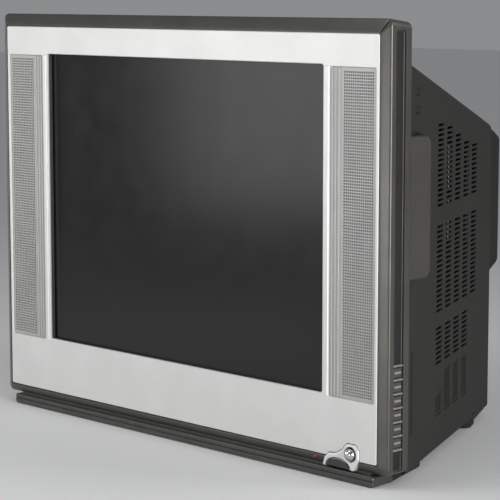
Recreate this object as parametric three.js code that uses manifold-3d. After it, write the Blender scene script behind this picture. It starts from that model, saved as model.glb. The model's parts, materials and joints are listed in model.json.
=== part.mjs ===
// A 29-inch flat-screen television set: front cabinet, silver fascia, picture tube with its yoke,
// chassis, speakers, controls and a tapered rear cover.
// Millimetres. X to the viewer's right, Y from the silver face towards the back, Z up from the floor.
import * as THREE from "three";
import { mergeVertices } from "three/addons/utils/BufferGeometryUtils.js";
import Module from "manifold-3d";

const wasm = await Module();
wasm.setup();

// ---------------------------------------------------------------- driving dimensions
const HALF_W = 378.6; // half of the cabinet's width
const CAB_TOP = 570.6; // cabinet top above the floor
const LIP_Z = 17; // underside of the cabinet's front lip
const SEAM_Y = 42; // joint between front cabinet and rear cover
const SEAM_GAP = 0.3;
const BACK_Y = 500; // rear face of the tube hump
const FRONT_Y = -8.5; // most forward point of the power button
const FOOT_H = 3.3; // height of the rubber feet's seats
const PLINTH_Z0 = 0.6; // underside of the plinth
const PLINTH_Z1 = 14.5; // its top, with a shadow gap below the cabinet's lip
const PLINTH_W = 358;

const SIL_W = 364; // silver fascia, half width
const SIL_Z0 = 30; // silver fascia, lower edge
const SIL_Z1 = 552.6; // silver fascia, upper edge
const SIL_T = 3; // silver moulding thickness

const OPEN_W = 271; // screen opening, half width
const OPEN_Z0 = 108; // screen opening, lower edge
const OPEN_Z1 = 514; // screen opening, upper edge

const GRILLE_X0 = 283; // speaker window, inner edge
const GRILLE_X1 = 359; // speaker window, outer edge
const GRILLE_Z0 = 105;
const GRILLE_Z1 = 512;

const GROOVE_Y0 = 15.2; // side groove with the keys
const GROOVE_Y1 = 32.3;
const GROOVE_X = 374.6; // floor of the groove
const KEY_POCKET_X = 373; // floor of the pocket under the keys
const KEY_PITCH = 17.4;
const KEY_Z0 = 56.5; // lowest key's centre
const KEY_NAMES = ["source_key", "menu_key", "volume_down_key", "volume_up_key", "channel_down_key", "channel_up_key"];
const KEY_Y = 23;

const TUBE_Z = 311; // axis of the picture tube
const FACE_Y = 8; // front of the glass
const PANEL_W = 286; // glass panel, half width
const PANEL_H = 218; // glass panel, half height
const PANEL_Y1 = 98; // back edge of the panel's skirt
const NECK_R = 14.5;
const NECK_Y1 = 446;

const COVER_W0 = 375; // rear cover's half width at the seam
const COVER_W1 = 180; // and at its rear face
const COVER_Y1 = 437; // rear face of the cover under the hump
const COVER_Z0 = 13; // underside of the cover's body
const COVER_T = 3;
const HUMP_W = 148;
const SKIRT_Y1 = 126; // end of the floor-level skirt
const TAPER = (COVER_W0 - COVER_W1) / (COVER_Y1 - SEAM_Y);
const TAPER_ANGLE = Math.atan(TAPER);
const HIP = Math.tan((29 * Math.PI) / 180); // slope of the shoulders

const PAD_X = 377.5; // outer face of the grip pads
const PAD_Y1 = 81; // their rear edge
const PAD_Z0 = 255;
const PAD_Z1 = 429;

const POWER_X = 323; // power button's centre
const POWER_Z = 37.5;
const BALL_R = 7.5;
const IR_X = 301.5; // receiver window: centre, base and half axes
const IR_Z0 = LIP_Z + 0.6;
const IR_A = 21.5;
const IR_B = 12.2;

const TUBE_SCREWS = [[298, TUBE_Z + 228], [298, TUBE_Z - 228]]; // mirrored in X
const COVER_SCREWS = [[357, 481], [357, 459], [200, 548]]; // mirrored in X

// ---------------------------------------------------------------- helpers
function outward(g) {
  // Every shape is used with its faces pointing out, whichever way its profile ran.
  const p = g.attributes.position, idx = g.index.array;
  let v = 0;
  const a = new THREE.Vector3(), b = new THREE.Vector3(), c = new THREE.Vector3();
  for (let i = 0; i < idx.length; i += 3) {
    a.fromBufferAttribute(p, idx[i]);
    b.fromBufferAttribute(p, idx[i + 1]);
    c.fromBufferAttribute(p, idx[i + 2]);
    v += a.dot(b.cross(c));
  }
  if (v < 0) for (let i = 0; i < idx.length; i += 3) [idx[i], idx[i + 1]] = [idx[i + 1], idx[i]];
  return g;
}
function solid(geometry) {
  let g = geometry.clone();
  for (const name of Object.keys(g.attributes)) if (name !== "position") g.deleteAttribute(name);
  g = outward(mergeVertices(g, 1e-4));
  return new wasm.Manifold(
    new wasm.Mesh({ numProp: 3, vertProperties: new Float32Array(g.attributes.position.array), triVerts: new Uint32Array(g.index.array) }),
  );
}
function geometryOf(m) {
  const mesh = m.getMesh();
  const n = mesh.numProp, src = mesh.vertProperties, pos = new Float32Array((src.length / n) * 3);
  for (let i = 0; i < src.length / n; i++) for (let k = 0; k < 3; k++) pos[3 * i + k] = src[n * i + k];
  let g = new THREE.BufferGeometry();
  g.setAttribute("position", new THREE.BufferAttribute(pos, 3));
  g.setIndex(new THREE.BufferAttribute(new Uint32Array(mesh.triVerts), 1));
  g = g.toNonIndexed();
  g.computeVertexNormals();
  return g;
}
const box = (x0, x1, y0, y1, z0, z1) =>
  solid(new THREE.BoxGeometry(x1 - x0, y1 - y0, z1 - z0).translate((x0 + x1) / 2, (y0 + y1) / 2, (z0 + z1) / 2));
// Round bar along Y.
const rod = (r, x, y0, y1, z, n = 16) =>
  solid(new THREE.CylinderGeometry(r, r, y1 - y0, n).translate(x, (y0 + y1) / 2, z));
// Round bar along Z.
const post = (r, x, y, z0, z1, n = 16) =>
  solid(new THREE.CylinderGeometry(r, r, z1 - z0, n).rotateX(Math.PI / 2).translate(x, y, (z0 + z1) / 2));
// Outline in X and Z, run along Y.
function prism(points, y0, y1) {
  const s = new THREE.Shape(points.map(([a, b]) => new THREE.Vector2(a, b)));
  return solid(new THREE.ExtrudeGeometry(s, { depth: y1 - y0, bevelEnabled: false }).rotateX(Math.PI / 2).translate(0, y1, 0));
}
// Ring turned about an axis along Y; profile holds [radius, y] and closes on itself or on the axis.
function turned(profile, x, z, n = 18) {
  const closed = profile[0][0] === 0 ? profile : [...profile, profile[0]];
  return solid(new THREE.LatheGeometry(closed.map(([r, y]) => new THREE.Vector2(r, y)), n).translate(x, 0, z));
}
function rounded(points, radii, seg = 3) {
  const out = [], n = points.length;
  points.forEach((pt, i) => {
    const r = Array.isArray(radii) ? radii[i] : radii;
    if (!r) return out.push(pt);
    const p = new THREE.Vector2(...pt);
    const u = new THREE.Vector2(...points[(i + n - 1) % n]).sub(p).normalize();
    const v = new THREE.Vector2(...points[(i + 1) % n]).sub(p).normalize();
    const half = Math.acos(u.dot(v)) / 2;
    const c = p.clone().addScaledVector(u.clone().add(v).normalize(), r / Math.sin(half));
    const s = p.clone().addScaledVector(u, r / Math.tan(half)).sub(c);
    const e = p.clone().addScaledVector(v, r / Math.tan(half)).sub(c);
    const a0 = Math.atan2(s.y, s.x);
    let d = Math.atan2(e.y, e.x) - a0;
    while (d > Math.PI) d -= 2 * Math.PI;
    while (d < -Math.PI) d += 2 * Math.PI;
    for (let k = 0; k <= seg; k++) out.push([c.x + r * Math.cos(a0 + (d * k) / seg), c.y + r * Math.sin(a0 + (d * k) / seg)]);
  });
  return out;
}
const rect = (w, z0, z1, r, seg = 3) => rounded([[w, z0], [w, z1], [-w, z1], [-w, z0]], r, seg);
const rectX = (x0, x1, z0, z1, r, seg = 3) => rounded([[x1, z0], [x1, z1], [x0, z1], [x0, z0]], r, seg);
// Skin over rings [[y, [[x, z], ...]], ...] with the same number of points, closed at both ends.
function loft(rings) {
  const n = rings[0][1].length, pos = [], idx = [];
  for (const [y, pts] of rings) for (const [x, z] of pts) pos.push(x, y, z);
  for (let j = 0; j + 1 < rings.length; j++)
    for (let i = 0; i < n; i++) {
      const a = j * n + i, b = j * n + ((i + 1) % n), c = b + n, d = a + n;
      idx.push(a, c, b, a, d, c);
    }
  for (const j of [0, rings.length - 1]) {
    const contour = rings[j][1].map(([x, z]) => new THREE.Vector2(x, z));
    for (const [a, b, c] of THREE.ShapeUtils.triangulateShape(contour, [])) {
      const area = (contour[b].x - contour[a].x) * (contour[c].y - contour[a].y) - (contour[c].x - contour[a].x) * (contour[b].y - contour[a].y);
      const f = area > 0 ? [a, b, c] : [a, c, b];
      if (j) f.reverse();
      idx.push(...f.map((k) => k + j * n));
    }
  }
  const g = new THREE.BufferGeometry();
  g.setAttribute("position", new THREE.Float32BufferAttribute(pos, 3));
  g.setIndex(idx);
  return solid(g);
}
// Round section swept round a closed loop of points.
function loop(points, r, n = 8) {
  const curve = new THREE.CatmullRomCurve3(points, true), N = points.length, pos = [], idx = [];
  for (let i = 0; i < N; i++) {
    const p = points[i], t = points[(i + 1) % N].clone().sub(points[(i + N - 1) % N]).normalize();
    const s = new THREE.Vector3(0, 1, 0), o = t.clone().cross(s).normalize();
    for (let k = 0; k < n; k++) {
      const a = (2 * Math.PI * k) / n;
      const q = p.clone().addScaledVector(o, r * Math.cos(a)).addScaledVector(s, r * Math.sin(a));
      pos.push(q.x, q.y, q.z);
    }
  }
  for (let i = 0; i < N; i++)
    for (let k = 0; k < n; k++) {
      const a = i * n + k, b = i * n + ((k + 1) % n), c = ((i + 1) % N) * n + ((k + 1) % n), d = ((i + 1) % N) * n + k;
      idx.push(a, b, c, a, c, d);
    }
  const g = new THREE.BufferGeometry();
  g.setAttribute("position", new THREE.Float32BufferAttribute(pos, 3));
  g.setIndex(idx);
  return solid(g);
}
const join = (first, ...rest) => rest.reduce((m, s) => m.add(s), first);
const cut = (first, ...rest) => rest.reduce((m, s) => m.subtract(s), first);
const bothSides = (make) => [make(1), make(-1)];

const MATERIALS = {
  cabinet: ["#34332f", 0.5, 0], silver: ["#c9cac6", 0.38, 0.3], grille: ["#97968f", 0.5, 0.3], cover: ["#3a3935", 0.7, 0],
  chrome: ["#d8d8da", 0.12, 1], window: ["#171318", 0.15, 0], led: ["#7a1714", 0.25, 0], key: ["#54524c", 0.45, 0],
  glass: ["#3b3d3f", 0.12, 0], funnel: ["#4a4c4b", 0.6, 0], neck: ["#8f9a98", 0.1, 0], steel: ["#8f9194", 0.4, 0.9],
  winding: ["#8a3d1d", 0.4, 0.3], ferrite: ["#33312f", 0.8, 0], liner: ["#b9b49f", 0.6, 0], board: ["#2e5a37", 0.55, 0],
  black: ["#1b1b1b", 0.5, 0], can: ["#9aa0a3", 0.35, 0.9], alloy: ["#a9adb0", 0.35, 0.9], rubber: ["#1e1e1e", 0.9, 0],
  paper: ["#26241f", 0.9, 0], screw: ["#3d3f42", 0.4, 0.8], tape: ["#3a2f24", 0.7, 0], red: ["#8c1c14", 0.5, 0],
};
const television = new THREE.Group();
television.name = "television";
television.position.set(0, -(FRONT_Y + BACK_Y) / 2, 0);
function piece(name, material, shape) {
  const [color, roughness, metalness] = MATERIALS[material];
  const mesh = new THREE.Mesh(geometryOf(shape), new THREE.MeshStandardMaterial({ color, roughness, metalness }));
  mesh.name = name;
  television.add(mesh);
}

// ---------------------------------------------------------------- outline of the rear cover
const halfWidth = (y) => COVER_W0 - (y - SEAM_Y) * TAPER;
const wallTop = (y) => 515 - (y - SEAM_Y) * (102 / 395);
const topZ = (y) => 560 - (y - SEAM_Y) * (135 / 395);
function coverRing(y, t, w = halfWidth(y), z0 = COVER_Z0) {
  const hip = (topZ(y) - wallTop(y) + 0.143 * t) / HIP;
  const zw = wallTop(y) - 0.589 * t;
  return [y, rounded([[w - t, z0 + t], [w - t, zw], [w - hip, topZ(y) - t], [-w + hip, topZ(y) - t], [-w + t, zw], [-w + t, z0 + t]], [5, 10, 14, 14, 10, 5])];
}
function humpRing(y, t, yr = y) {
  const w = HUMP_W - (y - COVER_Y1) * 0.05 - t;
  const z0 = 172 + Math.max(0, y - COVER_Y1) * 0.68 + t;
  return [yr, rounded([[w, z0], [w, wallTop(y) - 4 - 0.5 * t], [w - 12, topZ(y) - 1.5 - t], [-w + 12, topZ(y) - 1.5 - t], [-w, wallTop(y) - 4 - 0.5 * t], [-w, z0]], [6, 6, 6, 6, 6, 6])];
}

// ---------------------------------------------------------------- front cabinet
const screwPosts = [];
const screwHoles = [];
for (const s of [1, -1]) {
  for (const [x, z] of TUBE_SCREWS) {
    screwPosts.push(rod(7, s * x, 6, 33.7, z, 10));
    screwHoles.push(rod(2.8, s * x, 12, 34, z, 8));
  }
  for (const [x, z] of COVER_SCREWS) {
    screwPosts.push(rod(7, s * x, 6, SEAM_Y, z, 10));
    screwHoles.push(rod(2.5, s * x, 24, SEAM_Y + 1, z, 8));
  }
}
// Outline of the silver lobe round the power button and the receiver window.
const lobe = (d) =>
  rounded(
    [[327.5 + d, LIP_Z - d], [336.5 + d, 32], [336.5 + d, 43], [330 + d, 50 + d], [316 - d, 50 + d], [308 - d, 41 + d], [298, 35.5 + d], [285 - d, 34 + d], [278 - d, 27], [275.5 - d, LIP_Z - d]],
    [3, 7, 6, 5, 5, 5, 10, 8, 8, 1],
    3,
  );
// Outline of the receiver window, a low half oval; d makes it larger.
const archOutline = (d) => {
  const a = IR_A + d, b = IR_B + d, pts = [];
  for (let i = 0; i <= 12; i++) pts.push([IR_X + a * Math.cos((Math.PI * i) / 12), IR_Z0 + b * Math.sin((Math.PI * i) / 12)]);
  return pts;
};
const keyZ = KEY_NAMES.map((_, i) => KEY_Z0 + i * KEY_PITCH);

let cabinet = loft([
  [0.4, rect(SIL_W + 1.4, SIL_Z0 - 1.4, SIL_Z1 + 1.6, 5)],
  [3.0, rect(SIL_W + 9, SIL_Z0 - 8.4, SIL_Z1 + 11, 6)],
  [6.5, rect(HALF_W, LIP_Z, CAB_TOP, 8)],
  [17, rect(HALF_W, LIP_Z, CAB_TOP - 1, 8)],
  [SEAM_Y, rect(HALF_W, LIP_Z, CAB_TOP - 4.2, 8)],
]);
cabinet = join(
  cabinet,
  prism(rect(349, FOOT_H, 30, 4), 7, SEAM_Y),
  loft([[0.8, rect(PLINTH_W, PLINTH_Z0, PLINTH_Z1, 3)], [SEAM_Y, rect(PLINTH_W - 4, PLINTH_Z0, PLINTH_Z1, 3)]]),
);
cabinet = cut(
  cabinet,
  prism(rect(SIL_W + 0.3, SIL_Z0 - 0.3, SIL_Z1 + 0.3, 3), -2, SIL_T + 0.3), // seat of the fascia
  prism(lobe(0.3), -2, 5), // seat of the button lobe
  loft([[6.3, rect(371, 20.5, CAB_TOP - 4, 5)], [38, rect(371, 20.5, CAB_TOP - 6.8, 5)]]),
  prism(coverRing(SEAM_Y, 7)[1], 37.9, SEAM_Y + 1), // the rear opening follows the cover
  prism(rect(346, FOOT_H + 3, 24, 2), 10, SEAM_Y + 1), // hollow of the plinth
  ...bothSides((s) => post(12.4, s * 306, 26, -1, FOOT_H, 20)), // seats of the front feet
  prism(rect(OPEN_W + 1, OPEN_Z0 - 1, OPEN_Z1 + 1, 3.4), -1, 8),
);
// dark reveal that runs back from the fascia to the glass
cabinet = cut(
  join(cabinet, prism(rect(OPEN_W + 4, OPEN_Z0 - 4, OPEN_Z1 + 4, 5), 4, 7.6)),
  loft([
    [-1, rect(OPEN_W + 1.2, OPEN_Z0 - 1.2, OPEN_Z1 + 1.2, 3)],
    [8, rect(OPEN_W, OPEN_Z0, OPEN_Z1, 3)],
  ]),
);
for (const s of [1, -1]) {
  cabinet = cut(
    cabinet,
    prism(rectX(...(s > 0 ? [303, 356] : [-356, -303]), 109, 508, 4), -1, 8),
    box(...(s > 0 ? [GROOVE_X, 380] : [-380, -GROOVE_X]), GROOVE_Y0, GROOVE_Y1, LIP_Z + 4, CAB_TOP - 14),
  );
}
cabinet = cut(
  cabinet,
  box(KEY_POCKET_X, 380, GROOVE_Y0 + 0.6, GROOVE_Y1 - 0.6, keyZ[0] - 8, keyZ[5] + 8),
  ...keyZ.map((z) => box(360, 380, 19.6, 26.4, z - 3.6, z + 3.6)),
  rod(8.4, POWER_X, -1, 8, POWER_Z, 20),
  rod(3.2, 258, -1, 8, 24.5, 12),
);
cabinet = join(cabinet, ...screwPosts);
cabinet = join(cabinet, box(POWER_X - 12, POWER_X + 12, 6, 40, 19, 24.6)); // shelf that carries the power switch
cabinet = cut(cabinet, ...screwHoles);
piece("front_cabinet", "cabinet", cabinet);

// ---------------------------------------------------------------- silver fascia and its trim
let fascia = prism(rect(SIL_W, SIL_Z0, SIL_Z1, 2.5), 0, SIL_T);
for (const s of [1, -1]) {
  // raised border beside the screen
  fascia = join(fascia, prism(rectX(...(s > 0 ? [275, 281.5] : [-281.5, -275]), 104, 513, 1), -0.9, 1));
}
fascia = cut(
  fascia,
  prism(rect(OPEN_W + 1, OPEN_Z0 - 1, OPEN_Z1 + 1, 3.4), -1, 8),
  prism(lobe(0.3), -2, 8),
  ...bothSides((s) => prism(rectX(...(s > 0 ? [GRILLE_X0, GRILLE_X1] : [-GRILLE_X1, -GRILLE_X0]), GRILLE_Z0, GRILLE_Z1, 2.5), -1, 8)),
);
piece("silver_fascia", "silver", fascia);

for (const [name, s] of [["left_speaker_grille", -1], ["right_speaker_grille", 1]]) {
  const x0 = GRILLE_X0 + 0.4, x1 = GRILLE_X1 - 0.4;
  let grille = prism(rectX(...(s > 0 ? [x0, x1] : [-x1, -x0]), GRILLE_Z0 + 0.4, GRILLE_Z1 - 0.4, 2.2), 0.6, 2.8);
  const slots = [];
  for (let z = 124; z < 500; z += 48) slots.push(box(s * 331 - 22, s * 331 + 22, 0, 4, z, z + 6));
  // upright ribs along the inner edge
  const ribs = [287.2, 293, 298.6].map((x) => box(s * x - 0.6, s * x + 0.6, 0, 1.6, GRILLE_Z0 + 2, GRILLE_Z1 - 2));
  piece(name, "grille", join(cut(grille, ...slots), ...ribs));
}

let bezel = loft([[-2.6, lobe(-1.2)], [-1.4, lobe(0)], [4.6, lobe(0)]]);
bezel = cut(
  bezel,
  prism([[IR_X + IR_A + 0.3, 10], ...archOutline(0.3), [IR_X - IR_A - 0.3, 10]], -4, 6),
  rod(BALL_R + 0.6, POWER_X, -5, 6, POWER_Z, 24),
);
piece("button_bezel", "silver", bezel);
piece(
  "ir_window",
  "window",
  prism(archOutline(0), -1.6, 4.4),
);
piece("standby_led", "led", turned([[0, 0.8], [1.6, 1.4], [2.5, 3], [2.5, 10], [3.4, 10], [3.4, 12], [0, 12]].map(([r, y]) => [r, y < 9 ? y : y - 3.2]), 258, 24.5, 12));

// ---------------------------------------------------------------- power button, switch and side keys
piece(
  "power_button",
  "chrome",
  join(
    cut(solid(new THREE.SphereGeometry(BALL_R, 20, 12).translate(POWER_X, FRONT_Y + BALL_R, POWER_Z)), box(POWER_X - 17, POWER_X + 17, 1.5, 12, 20, 55)),
    rod(3.3, POWER_X, 0, 26.5, POWER_Z),
    rod(9.4, POWER_X, 8, 9.5, POWER_Z), // collar behind the cabinet wall
  ),
);
piece("power_switch", "black", cut(box(POWER_X - 9, POWER_X + 9, 25, 40, 24.9, 47), rod(3.8, POWER_X, 24, 32, POWER_Z)));
KEY_NAMES.forEach((name, i) => {
  const z = keyZ[i];
  const cap = rounded([[377.4, z - 5.6], [377.4, z + 5.6], [374.6, z + 6], [374.6, z - 6]], [1.6, 1.6, 0, 0], 2);
  piece(name, "key", join(prism(cap, GROOVE_Y0 + 1.8, GROOVE_Y1 - 1.4), box(364.4, 376, 20.1, 25.9, z - 3.1, z + 3.1)));
});
piece("side_key_board", "board", join(box(359.4, 361, 13, 33, 48, 152), ...keyZ.map((z) => box(360.5, 362.8, 20.5, 25.5, z - 2.5, z + 2.5))));

// ---------------------------------------------------------------- picture tube
const panelRing = (d) => rect(PANEL_W - d, TUBE_Z - PANEL_H + d, TUBE_Z + PANEL_H - d, 22 - d * 0.5, 5);
let panel = loft([[FACE_Y, panelRing(4)], [18, panelRing(0)], [PANEL_Y1, panelRing(0)]]);
panel = cut(panel, loft([[20.5, panelRing(16)], [26, panelRing(12)], [PANEL_Y1 + 1, panelRing(10)]]));
piece("crt_panel", "glass", panel);

// [y, half width, half height, squareness]; 2 is an ellipse
const FUNNEL = [[98.3, 284, 216, 9], [120, 268, 202, 7], [150, 236, 176, 5], [185, 190, 142, 3.6], [220, 142, 108, 2.8], [255, 98, 80, 2.3], [276, 72, 68, 2], [292, 56, 56, 2], [310, 36, 36, 2], [326, 21, 21, 2], [336, 14.5, 14.5, 2]];
const funnelRing = (k, t) => {
  const [y, a, b, e] = FUNNEL[k], pts = [];
  for (let i = 0; i < 32; i++) {
    const f = (2 * Math.PI * i) / 32, c = Math.cos(f), s = Math.sin(f);
    pts.push([(a - t) * Math.sign(c) * Math.abs(c) ** (2 / e), TUBE_Z + (b - t) * Math.sign(s) * Math.abs(s) ** (2 / e)]);
  }
  return [y, pts];
};
const wall = [8, 8, 8, 7, 7, 6, 5.5, 5, 4.5, 4, 3.2];
let funnel = loft(FUNNEL.map((_, k) => funnelRing(k, 0)));
const inner = FUNNEL.map((_, k) => funnelRing(k, wall[k]));
inner[0][0] -= 1;
inner[inner.length - 1][0] += 1;
piece("crt_funnel", "funnel", cut(funnel, loft(inner)));
piece("crt_neck", "neck", turned([[11.5, 336.3], [NECK_R, 336.3], [NECK_R, NECK_Y1 - 4], [11, NECK_Y1], [0.001, NECK_Y1], [0.001, NECK_Y1 - 3], [9, NECK_Y1 - 3], [11.5, NECK_Y1 - 7]].map(([r, y]) => [r, y]), 0, TUBE_Z, 16));

const bandOuter = rect(PANEL_W + 2, TUBE_Z - PANEL_H - 2, TUBE_Z + PANEL_H + 2, 24, 5);
let band = prism(bandOuter, 30, 62);
const lugHoles = [];
for (const sx of [1, -1])
  for (const sz of [1, -1]) {
    const lug = new THREE.BoxGeometry(44, 2.5, 20).rotateY((-sx * sz * Math.PI) / 4).translate(sx * 289, 35.25, TUBE_Z + sz * 219);
    band = join(band, solid(lug));
    lugHoles.push(rod(3.3, sx * 298, 30, 40, TUBE_Z + sz * 228, 12));
  }
band = cut(band, prism(rect(PANEL_W + 0.4, TUBE_Z - PANEL_H - 0.4, TUBE_Z + PANEL_H + 0.4, 22.4, 5), 20, 70), ...lugHoles);
piece("tension_band", "steel", band);
for (const [sx, a] of [[-1, "left"], [1, "right"]])
  for (const [k, b] of [[0, "upper"], [1, "lower"]]) {
    const [x, z] = TUBE_SCREWS[k];
    piece(`tube_screw_${b}_${a}`, "screw", join(rod(2.4, sx * x, 15, 38, z, 8), solid(new THREE.CylinderGeometry(6.5, 6.5, 4, 6).translate(sx * x, 38.8, z))));
  }

const coilPath = [];
for (let i = 0; i < 36; i++) {
  const f = (2 * Math.PI * i) / 36, c = Math.cos(f), s = Math.sin(f);
  coilPath.push(new THREE.Vector3(277 * Math.sign(c) * Math.abs(c) ** (2 / 7), 122, TUBE_Z + 210 * Math.sign(s) * Math.abs(s) ** (2 / 7)));
}
piece("degaussing_coil", "tape", loop(coilPath, 5.5, 6));

const YOKE_IN = [[80, 272], [65.5, 286], [44.5, 305], [27, 322], [18.5, 335], [16, 346]];
const yokeWall = (from, to, k0 = 0, k1 = YOKE_IN.length) => {
  const part = YOKE_IN.slice(k0, k1);
  return [...part.map(([r, y]) => [r + from, y]), ...part.reverse().map(([r, y]) => [r + to, y])];
};
piece("yoke_liner", "liner", join(turned(yokeWall(0, 2.2), 0, TUBE_Z), turned([[81, 270], [104, 270], [104, 273], [80, 273]], 0, TUBE_Z), turned([[16, 344], [24, 344], [24, 348], [16, 348]], 0, TUBE_Z)));
piece("yoke_coil", "winding", turned([[82, 275], [96, 277], [98, 284], [80, 290], [60, 305], [42, 322], [36, 335], [36, 341], [25, 341], [23, 334], [30.4, 322], [48.4, 305], [69.2, 286]], 0, TUBE_Z));
piece("yoke_core", "ferrite", turned([[80.6, 293], [92, 293], [72, 314], [54, 328], [43, 328], [60.8, 308]], 0, TUBE_Z));
piece("convergence_rings", "black", turned([[15.4, 352], [26, 352], [26, 358], [21.5, 358], [21.5, 362], [27, 362], [27, 368], [21.5, 368], [21.5, 372], [27, 372], [27, 378], [21, 378], [21, 388], [15.4, 388]], 0, TUBE_Z, 16));
piece("tube_socket", "liner", turned([[0, NECK_Y1 + 0.5], [16, NECK_Y1 + 0.5], [20, NECK_Y1 + 3], [20, NECK_Y1 + 12], [0, NECK_Y1 + 12]], 0, TUBE_Z, 20));
piece("neck_board", "board", join(box(-46, 46, NECK_Y1 + 12.4, NECK_Y1 + 14, TUBE_Z - 44, TUBE_Z + 40), box(-40, -8, NECK_Y1 + 13, NECK_Y1 + 30, TUBE_Z + 20, TUBE_Z + 34), rod(6, 28, NECK_Y1 + 13, NECK_Y1 + 30, TUBE_Z - 24, 12)));

const capTilt = (44 * Math.PI) / 180;
piece("anode_cap", "black", solid(new THREE.CylinderGeometry(15, 19, 7, 20).rotateX(capTilt).translate(0, 168 + 5.2 * Math.sin(capTilt) + 2, TUBE_Z + 162 + 5.2 * Math.cos(capTilt))));
const lead = new THREE.CatmullRomCurve3([[16, 190, 474], [60, 214, 462], [128, 236, 420], [176, 252, 340], [180, 266, 240], [150, 282, 165], [110, 297, 128], [105, 300, 104.5]].map((p) => new THREE.Vector3(...p)));
const leadSection = new THREE.Shape(Array.from({ length: 8 }, (_, k) => new THREE.Vector2(2.4 * Math.cos((k * Math.PI) / 4), 2.4 * Math.sin((k * Math.PI) / 4))));
piece("anode_lead", "red", solid(new THREE.ExtrudeGeometry(leadSection, { steps: 26, bevelEnabled: false, extrudePath: lead })));

// ---------------------------------------------------------------- chassis
piece("chassis_frame", "black", cut(prism(rect(172, 16.5, 23.6, 1, 1), 104, 430), box(-160, 160, 118, 416, 10, 30)));
piece("main_board", "board", box(-166, 166, 108, 426, 24, 25.6));
piece("flyback_transformer", "black", join(box(84, 126, 276, 324, 26, 84), box(92, 118, 284, 316, 83, 101), box(120, 140, 288, 312, 32, 78)));
for (const [name, x] of [["focus_knob", 96], ["screen_knob", 114]]) piece(name, "liner", cut(turned([[0, 324.4], [6, 324.4], [6, 328], [4.6, 329.4], [4.6, 334], [0, 334]], x, 54, 16), box(x - 0.8, x + 0.8, 331.5, 335, 48, 60)));
piece("power_transformer", "tape", join(box(-124, -72, 312, 356, 26, 34), box(-120, -76, 316, 352, 33, 62), box(-106, -90, 308, 360, 26, 68)));
piece("filter_capacitor", "black", post(15, -138, 272, 26, 72, 20));
const fins = (x, y0, y1, z1, n, dir) => join(box(x - 1.5, x + 1.5, y0, y1, 26, z1), ...Array.from({ length: n }, (_, i) => box(...(dir > 0 ? [x, x + 16] : [x - 16, x]), y0 + ((y1 - y0 - 2) * i) / (n - 1), y0 + ((y1 - y0 - 2) * i) / (n - 1) + 2, 26, z1)));
piece("supply_heat_sink", "alloy", fins(-40, 262, 342, 84, 8, -1));
piece("output_heat_sink", "alloy", fins(40, 300, 370, 76, 7, 1));
piece("tuner", "can", join(box(24, 80, 392, 422, 26, 66), rod(5.2, 52, 420, 441, 48, 16)));

let jacks = join(box(95.5, 160, 426.5, 436.4, 38, 98), box(100, 156, 404, 428, 26, 40));
for (const [x, z] of [[108, 84], [128, 84], [148, 84], [108, 54], [128, 54], [148, 54]]) jacks = join(jacks, cut(rod(5, x, 434, 443, z, 10), rod(2.2, x, 438, 444, z, 6)));
piece("av_jack_panel", "black", jacks);
piece("mains_cord_gland", "black", cut(join(rod(7.4, -140, 428, 446, 60, 16), rod(10.5, -140, 437.4, 440.5, 60, 16)), rod(3.6, -140, 425, 450, 60, 12)));

// ---------------------------------------------------------------- speakers
const oval = (cx, cz, a, b) => Array.from({ length: 16 }, (_, i) => {
  const f = (2 * Math.PI * i) / 16;
  return [cx + a * Math.cos(f), cz + (b - a) * Math.sign(Math.round(Math.sin(f) * 1e6)) + a * Math.sin(f)];
});
for (const [side, s] of [["left", -1], ["right", 1]]) {
  const x = s * 331, z = 300;
  let frame = join(
    loft([[6.7, oval(x, z, 27, 72)], [9.5, oval(x, z, 27, 72)]]),
    loft([[9, oval(x, z, 25.5, 70)], [34, oval(x, z, 13, 26)]]),
    rod(21, x, 33, 48, z, 20),
  );
  frame = cut(frame, loft([[6, oval(x, z, 24, 68)], [9, oval(x, z, 23.4, 66)], [30, oval(x, z, 11, 22)]]));
  piece(`${side}_speaker_frame`, "steel", frame);
  const cone = cut(loft([[7, oval(x, z, 23, 66)], [9.2, oval(x, z, 22.6, 65)], [29, oval(x, z, 10.4, 21)]]), loft([[6, oval(x, z, 22, 65)], [26, oval(x, z, 9.4, 20)]]));
  piece(`${side}_speaker_cone`, "paper", cone);
}

// ---------------------------------------------------------------- rear cover
const y0 = SEAM_Y + SEAM_GAP;
let cover = join(
  loft([coverRing(y0, 0), coverRing(SKIRT_Y1, 0), coverRing(COVER_Y1 - 6, 0), [COVER_Y1, coverRing(COVER_Y1, 4)[1]]]),
  loft([humpRing(400, 0), humpRing(COVER_Y1, 0), humpRing(494, 0), [BACK_Y, humpRing(BACK_Y, 4)[1]]]),
  loft([[y0, rect(353.5, PLINTH_Z0, 30, 4)], [SKIRT_Y1, rect(325, PLINTH_Z0, 30, 4)]]),
);
for (const s of [1, -1]) cover = join(cover, post(15, s * 206, 350, FOOT_H, 20, 16));
// grip pads: bosses behind the seam whose faces lie in line with the cabinet's sides
const pad = (s, x, y, z, r) => {
  const side = rounded([[y0 - 2, PAD_Z0 + z], [y, PAD_Z0 + z], [y, PAD_Z1 - z], [y0 - 2, PAD_Z1 - z]], [0, r, r, 0]);
  return side.map(([a, b]) => [s * x, a, b]);
};
function padBody(s, x0, x1, y, z, r) {
  const inner = pad(s, x0, y, z, r), outer = pad(s, x1, y - 2, z + 2, r), n = inner.length;
  const g = new THREE.BufferGeometry(), pos = [], idx = [];
  for (const p of [...inner, ...outer]) pos.push(...p);
  for (let i = 0; i < n; i++) {
    const j = (i + 1) % n;
    idx.push(i, j, j + n, i, j + n, i + n);
    if (i > 0 && i < n - 1) idx.push(0, i + 1, i, n, n + i, n + i + 1);
  }
  g.setAttribute("position", new THREE.Float32BufferAttribute(pos, 3));
  g.setIndex(idx);
  return solid(g).intersect(box(-380, 380, y0, 100, 200, 480));
}
for (const s of [1, -1]) cover = join(cover, padBody(s, 345, PAD_X, PAD_Y1 + 2, 0, 10));
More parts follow.
